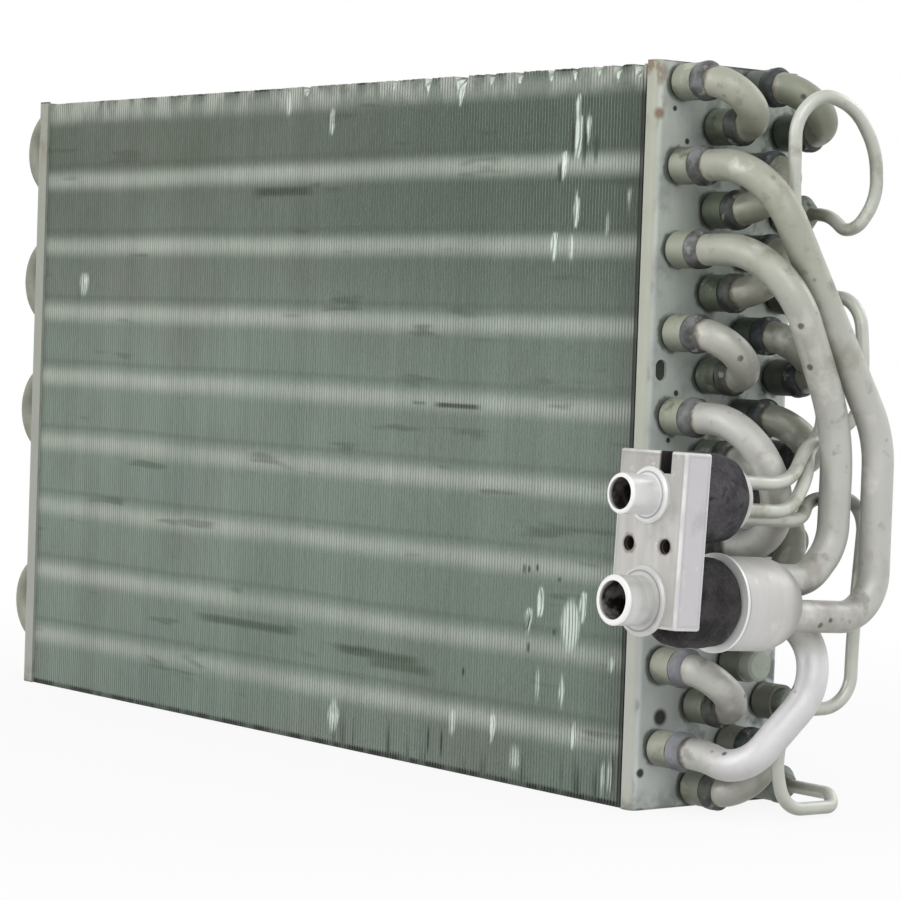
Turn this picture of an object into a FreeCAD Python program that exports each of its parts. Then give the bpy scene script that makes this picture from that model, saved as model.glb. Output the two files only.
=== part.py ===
import FreeCAD, Part
import math
import os

# Evaporator core of a vehicle air conditioner: a finned coil with its suction pipes,
# collector, connection block and capillary tubes. Millimetres, +Z up, +X along the tubes
# towards the connections, -Y towards the side that the two ports face. Sizes are worked out
# from the outer face of the left end plate, the front of its flange and its foot, and every
# piece is moved at the end, so that the origin is under the middle of the core.

# Core
CORE_WIDTH = 358.0
CORE_HEIGHT = 225.0
TUBE_PITCH = 25.0
TUBES_PER_ROW = 9
ROW_PITCH = 14.3
FIRST_ROW_Y = 9.4
ROWS = "abcd"
CORE_DEPTH = 59.0
TUBE_RADIUS = 4.75
TUBE_CLEARANCE = 0.1

# End plates
PLATE_THICKNESS = 1.0
PLATE_BEND_RADIUS = 2.5
LEFT_FLANGE = 7.5
RIGHT_FLANGE = 5.0
OVAL_HOLE_WIDTH = 4.4
OVAL_HOLE_HEIGHT = 6.4
OVAL_HOLE_Y = 5.3
OVAL_HOLE_Z = 132.5

# Fins
FIN_COUNT = 120
FIN_LAND_SHARE = 0.45
FIN_FRONT_GAP_DEPTH = 1.6
FIN_BACK_GAP_DEPTH = 0.6
FIN_TOP_STEP = 0.8
FIN_SEAT_CLEARANCE = 0.05

# Tube ends on the right
BELL_RADIUS = 5.6
BELL_LENGTH = 9.0
BELL_CONE_LENGTH = 1.4
BELL_START = 0.2
RING_LENGTH = 4.5
RING_WALL = 1.1
RING_EDGE = 0.4
RING_CLEARANCE = 0.05
RING_MOUTH_DEPTH = 2.0
RING_MOUTH_WIDENING = 0.5
BEND_LEG = 3.0
PLUG_LENGTH = 5.0
PLUG_EDGE = 0.8
CROSSOVER_EXTRA_LEG = 6.5
CROSSOVER_ENDS = ("a5", "b6")

HAIRPINS = (
    ("a1", "a2"), ("a3", "a4"), ("a5", "a6"), ("a8", "a9"), ("a7", "b6"), ("b1", "b2"),
    ("b4", "b5"), ("b7", "c7"), ("b8", "b9"), ("b3", "c3"), ("c1", "c2"), ("c5", "c6"),
    ("c4", "d3"), ("c9", "d9"), ("d1", "d2"), ("d4", "d5"), ("d6", "d7"), ("c8", "d8"),
)
RETURN_BENDS = (
    ("a1", "b1"), ("a4", "b4"), ("a8", "b8"), ("b2", "c2"), ("b3", "c3"), ("b9", "c9"),
    ("c1", "d1"), ("c4", "d4"), ("c5", "d5"), ("a5", "b6"), ("a6", "b5"), ("a7", "b7"),
    ("c6", "c7"),
)
PLUGGED_ENDS = ("c8", "d6", "d7", "d8")
SUCTION_ENDS = ("a2", "a3", "a9")
CAPILLARY_ENDS = ("d2", "d3", "d9")

# Connection block, which leans a little about X as the whole branch does
BRANCH_REACH = 46.0
BRANCH_LEAN = -2.8
BLOCK_WIDTH = 27.6
BLOCK_DEPTH = 9.8
BLOCK_HEIGHT = 49.5
BLOCK_FRONT_Y = -39.5
BLOCK_FOOT_Z = 60.9
BLOCK_EDGE = 0.8
SUCTION_PORT_Z = 68.1
PORT_SPACING = 29.7
THREAD_HOLE_RADIUS = 2.1
THREAD_HOLE_SPACING = 15.0
THREAD_HOLE_Z = 83.8
NOTCH_WIDTH = 5.0
NOTCH_HEIGHT = 6.3
NOTCH_DEPTH = 4.0
NOTCH_OFFSET = 5.3

# Port tubes, as outer radius, bore radius, bead radius and length in front of the block
LIQUID_TUBE_RADIUS = 5.7
LIQUID_BORE_RADIUS = 4.55
LIQUID_BEAD_RADIUS = 8.0
LIQUID_STUB_LENGTH = 11.4
SUCTION_TUBE_RADIUS = 7.1
SUCTION_BORE_RADIUS = 5.5
SUCTION_BEAD_RADIUS = 10.0
SUCTION_STUB_LENGTH = 11.3
BEAD_THICKNESS = 1.4
BEAD_ROUND = 0.6
PORT_CLEARANCE = 0.05
PORT_LIP_CHAMFER = 0.4

# Foam, collector and distributor, in the order that they lie behind the block
FOAM_RADIUS = 13.3
FOAM_THICKNESS = 16.7
FOAM_CLEARANCE = 0.3
FOAM_EDGE = 1.2
COLLECTOR_RADIUS = 13.6
COLLECTOR_LIP_RADIUS = 14.3
COLLECTOR_LIP_LENGTH = 0.9
COLLECTOR_BARREL_LENGTH = 16.6
PIPE_SEAT_DEPTH = 9.0
DISTRIBUTOR_RADIUS = 9.4
DISTRIBUTOR_LENGTH = 4.6
DISTRIBUTOR_EDGE = 1.0
CAPILLARY_SEAT_DEPTH = 3.0

# Where the three suction pipes enter the dome, from the collector's axis, as X and Z
UPPER_PIPE_SEAT = (5.5, -2.7)
MIDDLE_PIPE_SEAT = (0.0, 7.2)
LOWER_PIPE_SEAT = (-5.5, -4.4)

# Capillaries, and where they enter the distributor, from its axis
CAPILLARY_RADIUS = 2.0
CAPILLARY_CLEARANCE = 0.05
UPPER_CAPILLARY_SEAT = (3.5, 5.2)
MIDDLE_CAPILLARY_SEAT = (5.0, -2.6)
LOWER_CAPILLARY_SEAT = (0.0, -5.2)
SOCKET_SEAT_DEPTH = 3.5
SOCKET_SHOULDER = 1.2
SOCKET_TIP_RADIUS = 3.4
BEND_SHARE = 0.45

# Modelling values
CUT_OVERRUN = 1.0
SAME_POINT = 1e-6


def vec(x, y, z):
    return FreeCAD.Vector(x, y, z)


def tube_axis(end):
    """Y and Z of the tube that a letter and a number name, such as a1, counted from the top."""
    row = ROWS.index(end[0])
    step = int(end[1:]) - 1
    y = FIRST_ROW_Y + row * ROW_PITCH
    top_margin = (CORE_HEIGHT - (TUBES_PER_ROW - 0.5) * TUBE_PITCH) / 2
    z = CORE_HEIGHT - top_margin - step * TUBE_PITCH
    if row % 2:
        z -= TUBE_PITCH / 2
    return y, z


def all_tube_ends():
    return [row + str(step + 1) for row in ROWS for step in range(TUBES_PER_ROW)]


BELL_END_X = CORE_WIDTH + BELL_LENGTH
BRANCH_X = CORE_WIDTH + BRANCH_REACH
RING_END_X = BELL_END_X + RING_LENGTH
RING_RADIUS = TUBE_RADIUS + RING_CLEARANCE + RING_WALL
BLOCK_BACK_Y = BLOCK_FRONT_Y + BLOCK_DEPTH
COLLECTOR_FRONT_Y = BLOCK_BACK_Y + FOAM_THICKNESS + 2 * FOAM_CLEARANCE
COLLECTOR_END_Y = COLLECTOR_FRONT_Y + COLLECTOR_BARREL_LENGTH + COLLECTOR_RADIUS
DISTRIBUTOR_BACK_Y = COLLECTOR_FRONT_Y + DISTRIBUTOR_LENGTH
LIQUID_PORT_Z = SUCTION_PORT_Z + PORT_SPACING
LEAN_PIVOT = vec(BRANCH_X, BLOCK_BACK_Y, (SUCTION_PORT_Z + LIQUID_PORT_Z) / 2)
PIPE_END_Y = COLLECTOR_END_Y - PIPE_SEAT_DEPTH
CAPILLARY_START_Y = DISTRIBUTOR_BACK_Y - CAPILLARY_SEAT_DEPTH


# Paths and tubes
def unit(vector):
    return vector * (1.0 / vector.Length)


def bend_at(before, corner, after, radius):
    """Start, middle and end of the arc that rounds a corner."""
    into = unit(corner - before)
    out = unit(after - corner)
    half_turn = into.getAngle(out) / 2
    reach = radius * math.tan(half_turn)
    middle = corner + unit(out - into) * (radius / math.cos(half_turn) - radius)
    return corner - into * reach, middle, corner + out * reach


def widest_radius(before, corner, after):
    """The arc's radius that uses the same share of the shorter run at each side."""
    shorter = min((corner - before).Length, (after - corner).Length)
    half_turn = (corner - before).getAngle(after - corner) / 2
    return BEND_SHARE * shorter / math.tan(half_turn)


def route(points, radii=None):
    """A wire of straight runs joined by tangent arcs."""
    edges = []
    start = points[0]
    for index in range(1, len(points) - 1):
        before, corner, after = points[index - 1:index + 2]
        radius = radii[index - 1] if radii else widest_radius(before, corner, after)
        arc_start, arc_middle, arc_end = bend_at(before, corner, after, radius)
        edges.append(Part.LineSegment(start, arc_start).toShape())
        edges.append(Part.Arc(arc_start, arc_middle, arc_end).toShape())
        start = arc_end
    edges.append(Part.LineSegment(start, points[-1]).toShape())
    return Part.Wire(edges)


def tube_along(path, start, direction, radius):
    circle = Part.Circle(start, direction, radius).toShape()
    return path.makePipeShell([Part.Wire([circle])], True, True)


def routed_tube(points, radius, radii=None):
    path = route(points, radii)
    return tube_along(path, points[0], points[1] - points[0], radius)


def u_tube(open_x, bend_x, first, second, side):
    """Two legs along X and a half round bend; side is 1 for a bend at the right, -1 at the left."""
    first_y, first_z = tube_axis(first)
    second_y, second_z = tube_axis(second)
    reach = math.hypot(second_y - first_y, second_z - first_z) / 2
    leg_end = vec(bend_x, first_y, first_z)
    crown = vec(bend_x + side * reach, (first_y + second_y) / 2, (first_z + second_z) / 2)
    second_start = vec(bend_x, second_y, second_z)
    path = Part.Wire([
        Part.LineSegment(vec(open_x, first_y, first_z), leg_end).toShape(),
        Part.Arc(leg_end, crown, second_start).toShape(),
        Part.LineSegment(second_start, vec(open_x, second_y, second_z)).toShape(),
    ])
    return tube_along(path, vec(open_x, first_y, first_z), vec(side, 0, 0), TUBE_RADIUS)


def face_inside(outline):
    """A flat face inside a closed outline of points; an arc is a list of its three points."""
    edges = []
    start = None
    for entry in outline:
        if isinstance(entry, list):
            edges.append(Part.Arc(*entry).toShape())
            start = entry[-1]
            continue
        if start is not None and (entry - start).Length > SAME_POINT:
            edges.append(Part.LineSegment(start, entry).toShape())
        start = entry
    return Part.Face(Part.Wire(edges))


def turned(outline, axis_point, axis):
    return face_inside(outline).revolve(axis_point, axis, 360)


def turned_on_x(end, profile):
    """A turned solid on a tube's axis; the profile is a list of X and radius."""
    y, z = tube_axis(end)
    outline = [vec(x, y, z + radius) for x, radius in profile]
    return turned(outline + outline[:1], vec(0, y, z), vec(1, 0, 0))


def turned_on_y(z, profile):
    """A turned solid on a port's axis; the profile is a list of Y and radius."""
    outline = [vec(BRANCH_X, y, z + radius) for y, radius in profile]
    return turned(outline + outline[:1], vec(BRANCH_X, 0, z), vec(0, 1, 0))


# The core
def fin_pack():
    left = PLATE_THICKNESS + FIN_SEAT_CLEARANCE
    right = CORE_WIDTH - left
    front = PLATE_THICKNESS + FIN_SEAT_CLEARANCE
    back = CORE_DEPTH - front
    corner = PLATE_BEND_RADIUS - PLATE_THICKNESS
    pitch = (right - left - 2 * corner) / FIN_COUNT
    half_gap = pitch * (1 - FIN_LAND_SHARE) / 2
    front_line = [vec(left, front + corner, 0), vec(left + corner, front, 0)]
    back_line = [vec(left, back - corner, 0), vec(left + corner, back, 0)]
    for index in range(FIN_COUNT):
        middle = left + corner + (index + 0.5) * pitch
        for x, floor in (
            (middle - half_gap, 0), (middle - half_gap, 1),
            (middle + half_gap, 1), (middle + half_gap, 0),
        ):
            front_line.append(vec(x, front + floor * FIN_FRONT_GAP_DEPTH, 0))
            back_line.append(vec(x, back - floor * FIN_BACK_GAP_DEPTH, 0))
    front_line += [vec(right - corner, front, 0), vec(right, front + corner, 0)]
    back_line += [vec(right - corner, back, 0), vec(right, back - corner, 0)]
    outline = front_line + back_line[::-1] + front_line[:1]
    pack = Part.Face(Part.makePolygon(outline)).extrude(vec(0, 0, CORE_HEIGHT - FIN_TOP_STEP))
    bores = [tube_hole(end, left, right - left) for end in all_tube_ends()]
    return pack.cut(Part.makeCompound(bores))


def tube_hole(end, x, length):
    y, z = tube_axis(end)
    return Part.makeCylinder(TUBE_RADIUS + TUBE_CLEARANCE, length, vec(x, y, z), vec(1, 0, 0))


def end_plate(outer_x, inward, flange):
    """A sheet with a flange folded over the fins at the front and at the back."""
    outer = PLATE_BEND_RADIUS
    inner = PLATE_BEND_RADIUS - PLATE_THICKNESS
    diagonal = math.sqrt(0.5)

    def point(depth, y):
        return vec(outer_x + inward * depth, y, 0)

    def fold(centre_y, radius, towards):
        """The arc of a fold, from the flange to the web."""
        return [
            point(outer, centre_y + towards * radius),
            point(outer - diagonal * radius, centre_y + towards * diagonal * radius),
            point(outer - radius, centre_y),
        ]

    front_centre = outer
    back_centre = CORE_DEPTH - outer
    outline = [
        point(flange, 0), point(outer, 0), fold(front_centre, outer, -1),
        point(0, back_centre), fold(back_centre, outer, 1)[::-1], point(flange, CORE_DEPTH),
        point(flange, CORE_DEPTH - PLATE_THICKNESS), point(outer, CORE_DEPTH - PLATE_THICKNESS),
        fold(back_centre, inner, 1), point(PLATE_THICKNESS, front_centre),
        fold(front_centre, inner, -1)[::-1], point(flange, PLATE_THICKNESS), point(flange, 0),
    ]
    plate = face_inside(outline).extrude(vec(0, 0, CORE_HEIGHT))
    hole_start = min(outer_x, outer_x + inward * PLATE_THICKNESS) - CUT_OVERRUN
    hole_length = PLATE_THICKNESS + 2 * CUT_OVERRUN
    holes = [tube_hole(end, hole_start, hole_length) for end in all_tube_ends()]
    return plate.cut(Part.makeCompound(holes))


def oval_hole():
    """The oval hole near the front edge of the right plate."""
    radius = OVAL_HOLE_WIDTH / 2
    reach = (OVAL_HOLE_HEIGHT - OVAL_HOLE_WIDTH) / 2
    x = CORE_WIDTH - PLATE_THICKNESS - CUT_OVERRUN
    length = PLATE_THICKNESS + 2 * CUT_OVERRUN
    rounds = []
    for side in (-1, 1):
        centre = vec(x, OVAL_HOLE_Y, OVAL_HOLE_Z + side * reach)
        rounds.append(Part.makeCylinder(radius, length, centre, vec(1, 0, 0)))
    waist_corner = vec(x, OVAL_HOLE_Y - radius, OVAL_HOLE_Z - reach)
    waist = Part.makeBox(length, OVAL_HOLE_WIDTH, 2 * reach, waist_corner)
    return waist.fuse(rounds)


def bell(end):
    """The widened mouth of a hairpin's leg, outside the right plate."""
    start = CORE_WIDTH + BELL_START
    return turned_on_x(end, [
        (start, 0), (start, TUBE_RADIUS), (start + BELL_CONE_LENGTH, BELL_RADIUS),
        (BELL_END_X, BELL_RADIUS), (BELL_END_X, 0),
    ])


def hairpin(first, second):
    tube = u_tube(BELL_END_X, 0, first, second, -1)
    return tube.fuse([bell(first), bell(second)]).removeSplitter()


# Joints, bends and plugs at the right
def return_bend(first, second):
    extra = CROSSOVER_EXTRA_LEG if (first, second) == CROSSOVER_ENDS else 0
    return u_tube(BELL_END_X, BELL_END_X + BEND_LEG + extra, first, second, 1)


def joint_ring(end):
    """A ring whose mouth widens, because the bend starts inside it."""
    inner = TUBE_RADIUS + RING_CLEARANCE
    return turned_on_x(end, [
        (BELL_END_X, inner), (BELL_END_X, RING_RADIUS), (RING_END_X - RING_EDGE, RING_RADIUS),
        (RING_END_X, RING_RADIUS - RING_EDGE), (RING_END_X, inner + RING_MOUTH_WIDENING),
        (RING_END_X - RING_MOUTH_DEPTH, inner),
    ])


def capillary_socket(end):
    """A cap that narrows to a blind seat for a capillary."""
    seat = CAPILLARY_RADIUS + CAPILLARY_CLEARANCE
    floor_x = RING_END_X - SOCKET_SEAT_DEPTH
    return turned_on_x(end, [
        (BELL_END_X, 0), (BELL_END_X, RING_RADIUS), (BELL_END_X + SOCKET_SHOULDER, RING_RADIUS),
        (RING_END_X, SOCKET_TIP_RADIUS), (RING_END_X, seat), (floor_x, seat), (floor_x, 0),
    ])


def end_plug(end):
    plug_end = BELL_END_X + PLUG_LENGTH
    return turned_on_x(end, [
        (BELL_END_X, 0), (BELL_END_X, TUBE_RADIUS), (plug_end - PLUG_EDGE, TUBE_RADIUS),
        (plug_end, TUBE_RADIUS - PLUG_EDGE), (plug_end, 0),
    ])


# The branch with the two ports
def lean(shape):
    leaned = shape.copy()
    leaned.rotate(LEAN_PIVOT, vec(1, 0, 0), BRANCH_LEAN)
    return leaned


def lean_point(x, y, z):
    turn = FreeCAD.Rotation(vec(1, 0, 0), BRANCH_LEAN)
    return LEAN_PIVOT + turn.multVec(vec(x, y, z) - LEAN_PIVOT)


def along_y(radius, z, start_y, end_y, x=BRANCH_X):
    return Part.makeCylinder(radius, end_y - start_y, vec(x, start_y, z), vec(0, 1, 0))


def connection_block():
    corner = vec(BRANCH_X - BLOCK_WIDTH / 2, BLOCK_FRONT_Y, BLOCK_FOOT_Z)
    block = Part.makeBox(BLOCK_WIDTH, BLOCK_DEPTH, BLOCK_HEIGHT, corner)
    block = block.makeFillet(BLOCK_EDGE, [edge for edge in block.Edges])
    before = BLOCK_FRONT_Y - CUT_OVERRUN
    behind = BLOCK_BACK_Y + CUT_OVERRUN
    cuts = [
        along_y(LIQUID_TUBE_RADIUS + PORT_CLEARANCE, LIQUID_PORT_Z, before, behind),
        along_y(SUCTION_TUBE_RADIUS + PORT_CLEARANCE, SUCTION_PORT_Z, before, behind),
    ]
    for side in (-1, 1):
        hole_x = BRANCH_X + side * THREAD_HOLE_SPACING / 2
        cuts.append(along_y(THREAD_HOLE_RADIUS, THREAD_HOLE_Z, before, behind, hole_x))
    notch_corner = vec(
        BRANCH_X + NOTCH_OFFSET - NOTCH_WIDTH / 2, before, BLOCK_FOOT_Z + BLOCK_HEIGHT - NOTCH_HEIGHT,
    )
    notch_depth = NOTCH_DEPTH + CUT_OVERRUN
    notch_height = NOTCH_HEIGHT + CUT_OVERRUN
    cuts.append(Part.makeBox(NOTCH_WIDTH, notch_depth, notch_height, notch_corner))
    return lean(block.cut(Part.makeCompound(cuts)))


def port_tube(z, outer, bore, bead, stub, back_y):
    """A beaded tube that passes through the block; its bead rests on the block's front."""
    mouth = BLOCK_FRONT_Y - stub
    bead_front = BLOCK_FRONT_Y - BEAD_THICKNESS
    return lean(turned_on_y(z, [
        (mouth, bore), (mouth, outer - PORT_LIP_CHAMFER), (mouth + PORT_LIP_CHAMFER, outer),
        (bead_front, outer), (bead_front, bead - BEAD_ROUND), (bead_front + BEAD_ROUND, bead),
        (BLOCK_FRONT_Y, bead), (BLOCK_FRONT_Y, outer), (back_y, outer), (back_y, bore),
    ]))


def foam_disc(z, tube_radius):
    front = BLOCK_BACK_Y + FOAM_CLEARANCE
    back = COLLECTOR_FRONT_Y - FOAM_CLEARANCE
    inner = tube_radius + FOAM_CLEARANCE
    return lean(turned_on_y(z, [
        (front, inner), (front, FOAM_RADIUS - FOAM_EDGE), (front + FOAM_EDGE, FOAM_RADIUS),
        (back - FOAM_EDGE, FOAM_RADIUS), (back, FOAM_RADIUS - FOAM_EDGE), (back, inner),
    ]))


def pipe_end(seat):
    return lean_point(BRANCH_X + seat[0], PIPE_END_Y, SUCTION_PORT_Z + seat[1])


def collector():
    """A can with a lip at its front, against the suction tube, and a half round dome at its end."""
    barrel_end = COLLECTOR_FRONT_Y + COLLECTOR_BARREL_LENGTH
    lip_end = COLLECTOR_FRONT_Y + COLLECTOR_LIP_LENGTH
    diagonal = math.sqrt(0.5)

    def point(y, radius):
        return vec(BRANCH_X, y, SUCTION_PORT_Z + radius)

    half_way = point(barrel_end + diagonal * COLLECTOR_RADIUS, diagonal * COLLECTOR_RADIUS)
    dome = [point(barrel_end, COLLECTOR_RADIUS), half_way, point(COLLECTOR_END_Y, 0)]
    can = turned([
        point(COLLECTOR_FRONT_Y, 0), point(COLLECTOR_FRONT_Y, COLLECTOR_LIP_RADIUS),
        point(lip_end, COLLECTOR_LIP_RADIUS), point(lip_end, COLLECTOR_RADIUS),
        point(barrel_end, COLLECTOR_RADIUS), dome, point(COLLECTOR_FRONT_Y, 0),
    ], point(0, 0), vec(0, 1, 0))
    seats = [
        along_y(
            TUBE_RADIUS + PORT_CLEARANCE, SUCTION_PORT_Z + seat[1], PIPE_END_Y,
            COLLECTOR_END_Y + CUT_OVERRUN, BRANCH_X + seat[0],
        )
        for seat in (UPPER_PIPE_SEAT, MIDDLE_PIPE_SEAT, LOWER_PIPE_SEAT)
    ]
    return lean(can.cut(Part.makeCompound(seats)))


def distributor():
    """The round body at the liquid tube's end, with a seat for each capillary."""
    body = turned_on_y(LIQUID_PORT_Z, [
        (COLLECTOR_FRONT_Y, 0), (COLLECTOR_FRONT_Y, DISTRIBUTOR_RADIUS),
        (DISTRIBUTOR_BACK_Y - DISTRIBUTOR_EDGE, DISTRIBUTOR_RADIUS),
        (DISTRIBUTOR_BACK_Y, DISTRIBUTOR_RADIUS - DISTRIBUTOR_EDGE), (DISTRIBUTOR_BACK_Y, 0),
    ])
    seats = [
        along_y(
            CAPILLARY_RADIUS + CAPILLARY_CLEARANCE, LIQUID_PORT_Z + seat[1], CAPILLARY_START_Y,
            DISTRIBUTOR_BACK_Y + CUT_OVERRUN, BRANCH_X + seat[0],
        )
        for seat in (UPPER_CAPILLARY_SEAT, MIDDLE_CAPILLARY_SEAT, LOWER_CAPILLARY_SEAT)
    ]
    return lean(body.cut(Part.makeCompound(seats)))


# Suction pipes, from a bell on the coil to the collector's dome
def beyond(reach, y, z):
    """A corner of a route, by how far it stands out from the core."""
    return vec(CORE_WIDTH + reach, y, z)


def suction_pipe(end, corners, radii, seat):
    y, z = tube_axis(end)
    points = [vec(BELL_END_X, y, z)] + corners + [pipe_end(seat)]
    return routed_tube(points, TUBE_RADIUS, radii)


def straight_before(seat, y):
    """A point on the line by which a pipe enters the dome, further back along Y."""
    return lean_point(BRANCH_X + seat[0], y, SUCTION_PORT_Z + seat[1])


def suction_pipe_upper():
    y, z = tube_axis("a2")
    corners = [
        beyond(38.1, y, z), beyond(51.4, 46.1, 115.2), straight_before(UPPER_PIPE_SEAT, 47.0),
    ]
    return suction_pipe("a2", corners, (22.0, 38.0, 13.0), UPPER_PIPE_SEAT)


def suction_pipe_middle():
    y, z = tube_axis("a3")
    corners = [beyond(46.0, y, z), beyond(46.0, 34.5, 116.9), beyond(46.0, 33.9, 83.0)]
    entry = straight_before(MIDDLE_PIPE_SEAT, 24.0)
    return suction_pipe("a3", corners + [entry], (23.0, 60.0, 15.0, 12.0), MIDDLE_PIPE_SEAT)


def suction_pipe_lower():
    y, z = tube_axis("a9")
    corners = [
        beyond(22.0, y, z), beyond(36.0, y + 0.6, z - 3.8), beyond(46.5, 27.9, 39.9),
        straight_before(LOWER_PIPE_SEAT, 33.0),
    ]
    return suction_pipe("a9", corners, (30.0, 12.0, 20.0, 12.0), LOWER_PIPE_SEAT)


# Capillaries, from the distributor to a socket on the coil
def out_of_distributor(seat, y):
    """A point on the line by which a capillary leaves the distributor."""
    return lean_point(BRANCH_X + seat[0], y, LIQUID_PORT_Z + seat[1])


def capillary(seat, corners, end):
    y, z = tube_axis(end)
    start = lean_point(BRANCH_X + seat[0], CAPILLARY_START_Y, LIQUID_PORT_Z + seat[1])
    last = vec(RING_END_X - SOCKET_SEAT_DEPTH, y, z)
    return routed_tube([start] + corners + [last], CAPILLARY_RADIUS)


def capillary_upper():
    y, z = tube_axis("d3")
    corners = [
        out_of_distributor(UPPER_CAPILLARY_SEAT, 11.0), beyond(40.3, 27.2, 111.5),
        beyond(37.1, 37.4, 114.2), beyond(38.3, 51.0, 120.0), beyond(36.6, 53.8, 136.0),
        beyond(35.6, y, z),
    ]
    return capillary(UPPER_CAPILLARY_SEAT, corners, "d3")


def capillary_middle():
    y, z = tube_axis("d2")
    corners = [
        out_of_distributor(MIDDLE_CAPILLARY_SEAT, 10.5), beyond(47.3, 21.0, 102.8),
        beyond(33.0, 35.6, 110.2), beyond(31.8, 43.0, 118.0), beyond(33.3, 31.0, 152.0),
        beyond(33.2, 25.4, 180.0), beyond(33.8, 24.3, 208.0), beyond(35.5, 32.9, 216.2),
        beyond(37.0, 45.9, 212.3), beyond(38.0, 54.1, 200.4), beyond(37.0, 56.2, 185.6),
        beyond(33.0, 49.9, 174.2), beyond(21.0, y, z),
    ]
    return capillary(MIDDLE_CAPILLARY_SEAT, corners, "d2")


def capillary_lower():
    y, z = tube_axis("d9")
    corners = [
        out_of_distributor(LOWER_CAPILLARY_SEAT, 20.5), beyond(38.8, 30.5, 96.3),
        beyond(39.0, 54.6, 96.5), beyond(39.5, 50.7, 55.0), beyond(38.5, 51.5, 33.5),
        beyond(34.5, 30.0, 32.8), beyond(33.2, 26.5, 17.0), beyond(33.6, 31.0, 3.0),
        beyond(34.0, 50.5, 2.8), beyond(31.0, y, z),
    ]
    return capillary(LOWER_CAPILLARY_SEAT, corners, "d9")


def bodies():
    parts = {
        "fin_pack": fin_pack(),
        "end_plate_left": end_plate(0, 1, LEFT_FLANGE),
        "end_plate_right": end_plate(CORE_WIDTH, -1, RIGHT_FLANGE).cut(oval_hole()),
    }
    for first, second in HAIRPINS:
        parts["hairpin_" + first + "_" + second] = hairpin(first, second)
    for first, second in RETURN_BENDS:
        parts["return_bend_" + first + "_" + second] = return_bend(first, second)
    ringed = [end for pair in RETURN_BENDS for end in pair] + list(SUCTION_ENDS)
    parts["joint_rings"] = Part.makeCompound([joint_ring(end) for end in ringed])
    parts["capillary_sockets"] = Part.makeCompound([capillary_socket(end) for end in CAPILLARY_ENDS])
    parts["end_plugs"] = Part.makeCompound([end_plug(end) for end in PLUGGED_ENDS])
    parts["connection_block"] = connection_block()
    parts["port_tube_liquid"] = port_tube(
        LIQUID_PORT_Z, LIQUID_TUBE_RADIUS, LIQUID_BORE_RADIUS, LIQUID_BEAD_RADIUS,
        LIQUID_STUB_LENGTH, COLLECTOR_FRONT_Y,
    )
    parts["port_tube_suction"] = port_tube(
        SUCTION_PORT_Z, SUCTION_TUBE_RADIUS, SUCTION_BORE_RADIUS, SUCTION_BEAD_RADIUS,
        SUCTION_STUB_LENGTH, COLLECTOR_FRONT_Y,
    )
    parts["foam_disc_upper"] = foam_disc(LIQUID_PORT_Z, LIQUID_TUBE_RADIUS)
    parts["foam_disc_lower"] = foam_disc(SUCTION_PORT_Z, SUCTION_TUBE_RADIUS)
    parts["suction_collector"] = collector()
    parts["distributor"] = distributor()
    parts["suction_pipe_upper"] = suction_pipe_upper()
    parts["suction_pipe_middle"] = suction_pipe_middle()
    parts["suction_pipe_lower"] = suction_pipe_lower()
    parts["capillary_upper"] = capillary_upper()
    parts["capillary_middle"] = capillary_middle()
    parts["capillary_lower"] = capillary_lower()
    return parts


os.makedirs("parts", exist_ok=True)
for name, shape in bodies().items():
    placed = shape.copy()
    placed.translate(vec(-CORE_WIDTH / 2, -CORE_DEPTH / 2, 0))
    placed.exportStep("parts/" + name + ".step")
    print(name, "valid", placed.isValid(), "solids", len(placed.Solids), "volume", round(placed.Volume))
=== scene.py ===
import math
import random

import bpy
import bmesh
from mathutils import Matrix, Vector


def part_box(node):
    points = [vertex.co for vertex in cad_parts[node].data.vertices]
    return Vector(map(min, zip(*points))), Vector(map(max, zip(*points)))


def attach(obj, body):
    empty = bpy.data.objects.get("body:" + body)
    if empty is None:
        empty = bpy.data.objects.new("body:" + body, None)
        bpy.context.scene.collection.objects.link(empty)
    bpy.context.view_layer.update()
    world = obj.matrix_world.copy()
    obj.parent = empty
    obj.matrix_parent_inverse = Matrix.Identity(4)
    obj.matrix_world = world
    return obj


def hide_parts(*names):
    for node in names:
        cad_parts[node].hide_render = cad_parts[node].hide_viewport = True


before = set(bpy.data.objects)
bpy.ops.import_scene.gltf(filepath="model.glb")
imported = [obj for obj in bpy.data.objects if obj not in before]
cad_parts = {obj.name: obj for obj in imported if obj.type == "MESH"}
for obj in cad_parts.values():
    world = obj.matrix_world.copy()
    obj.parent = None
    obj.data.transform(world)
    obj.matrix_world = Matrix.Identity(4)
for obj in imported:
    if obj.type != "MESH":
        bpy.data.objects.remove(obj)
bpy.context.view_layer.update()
MM = 0.001


# Fins
# Some two hundred and fifty thin aluminium foils with a green grey coat, pressed on the tubes one
# by one. The front row of tubes shows as paler bands, and knocks have bent the foils' edges.
FOIL_COUNT = 252
FOIL_THICKNESS = 0.9 * MM
FOIL_ROWS = 64
STACK_WIDTH = 356.0 * MM
FRONT_STRIP = 4.5 * MM
# Where a foil's front edge turns into its side, in Y and in millimetres
EDGE_TURNS = (-28.42, -28.2)
TUBE_PITCH = 25.0 * MM
LOWEST_FRONT_TUBE_Z = 18.75 * MM
BAND_ABOVE = 5.8 * MM
BAND_BELOW = 4.6 * MM

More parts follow.
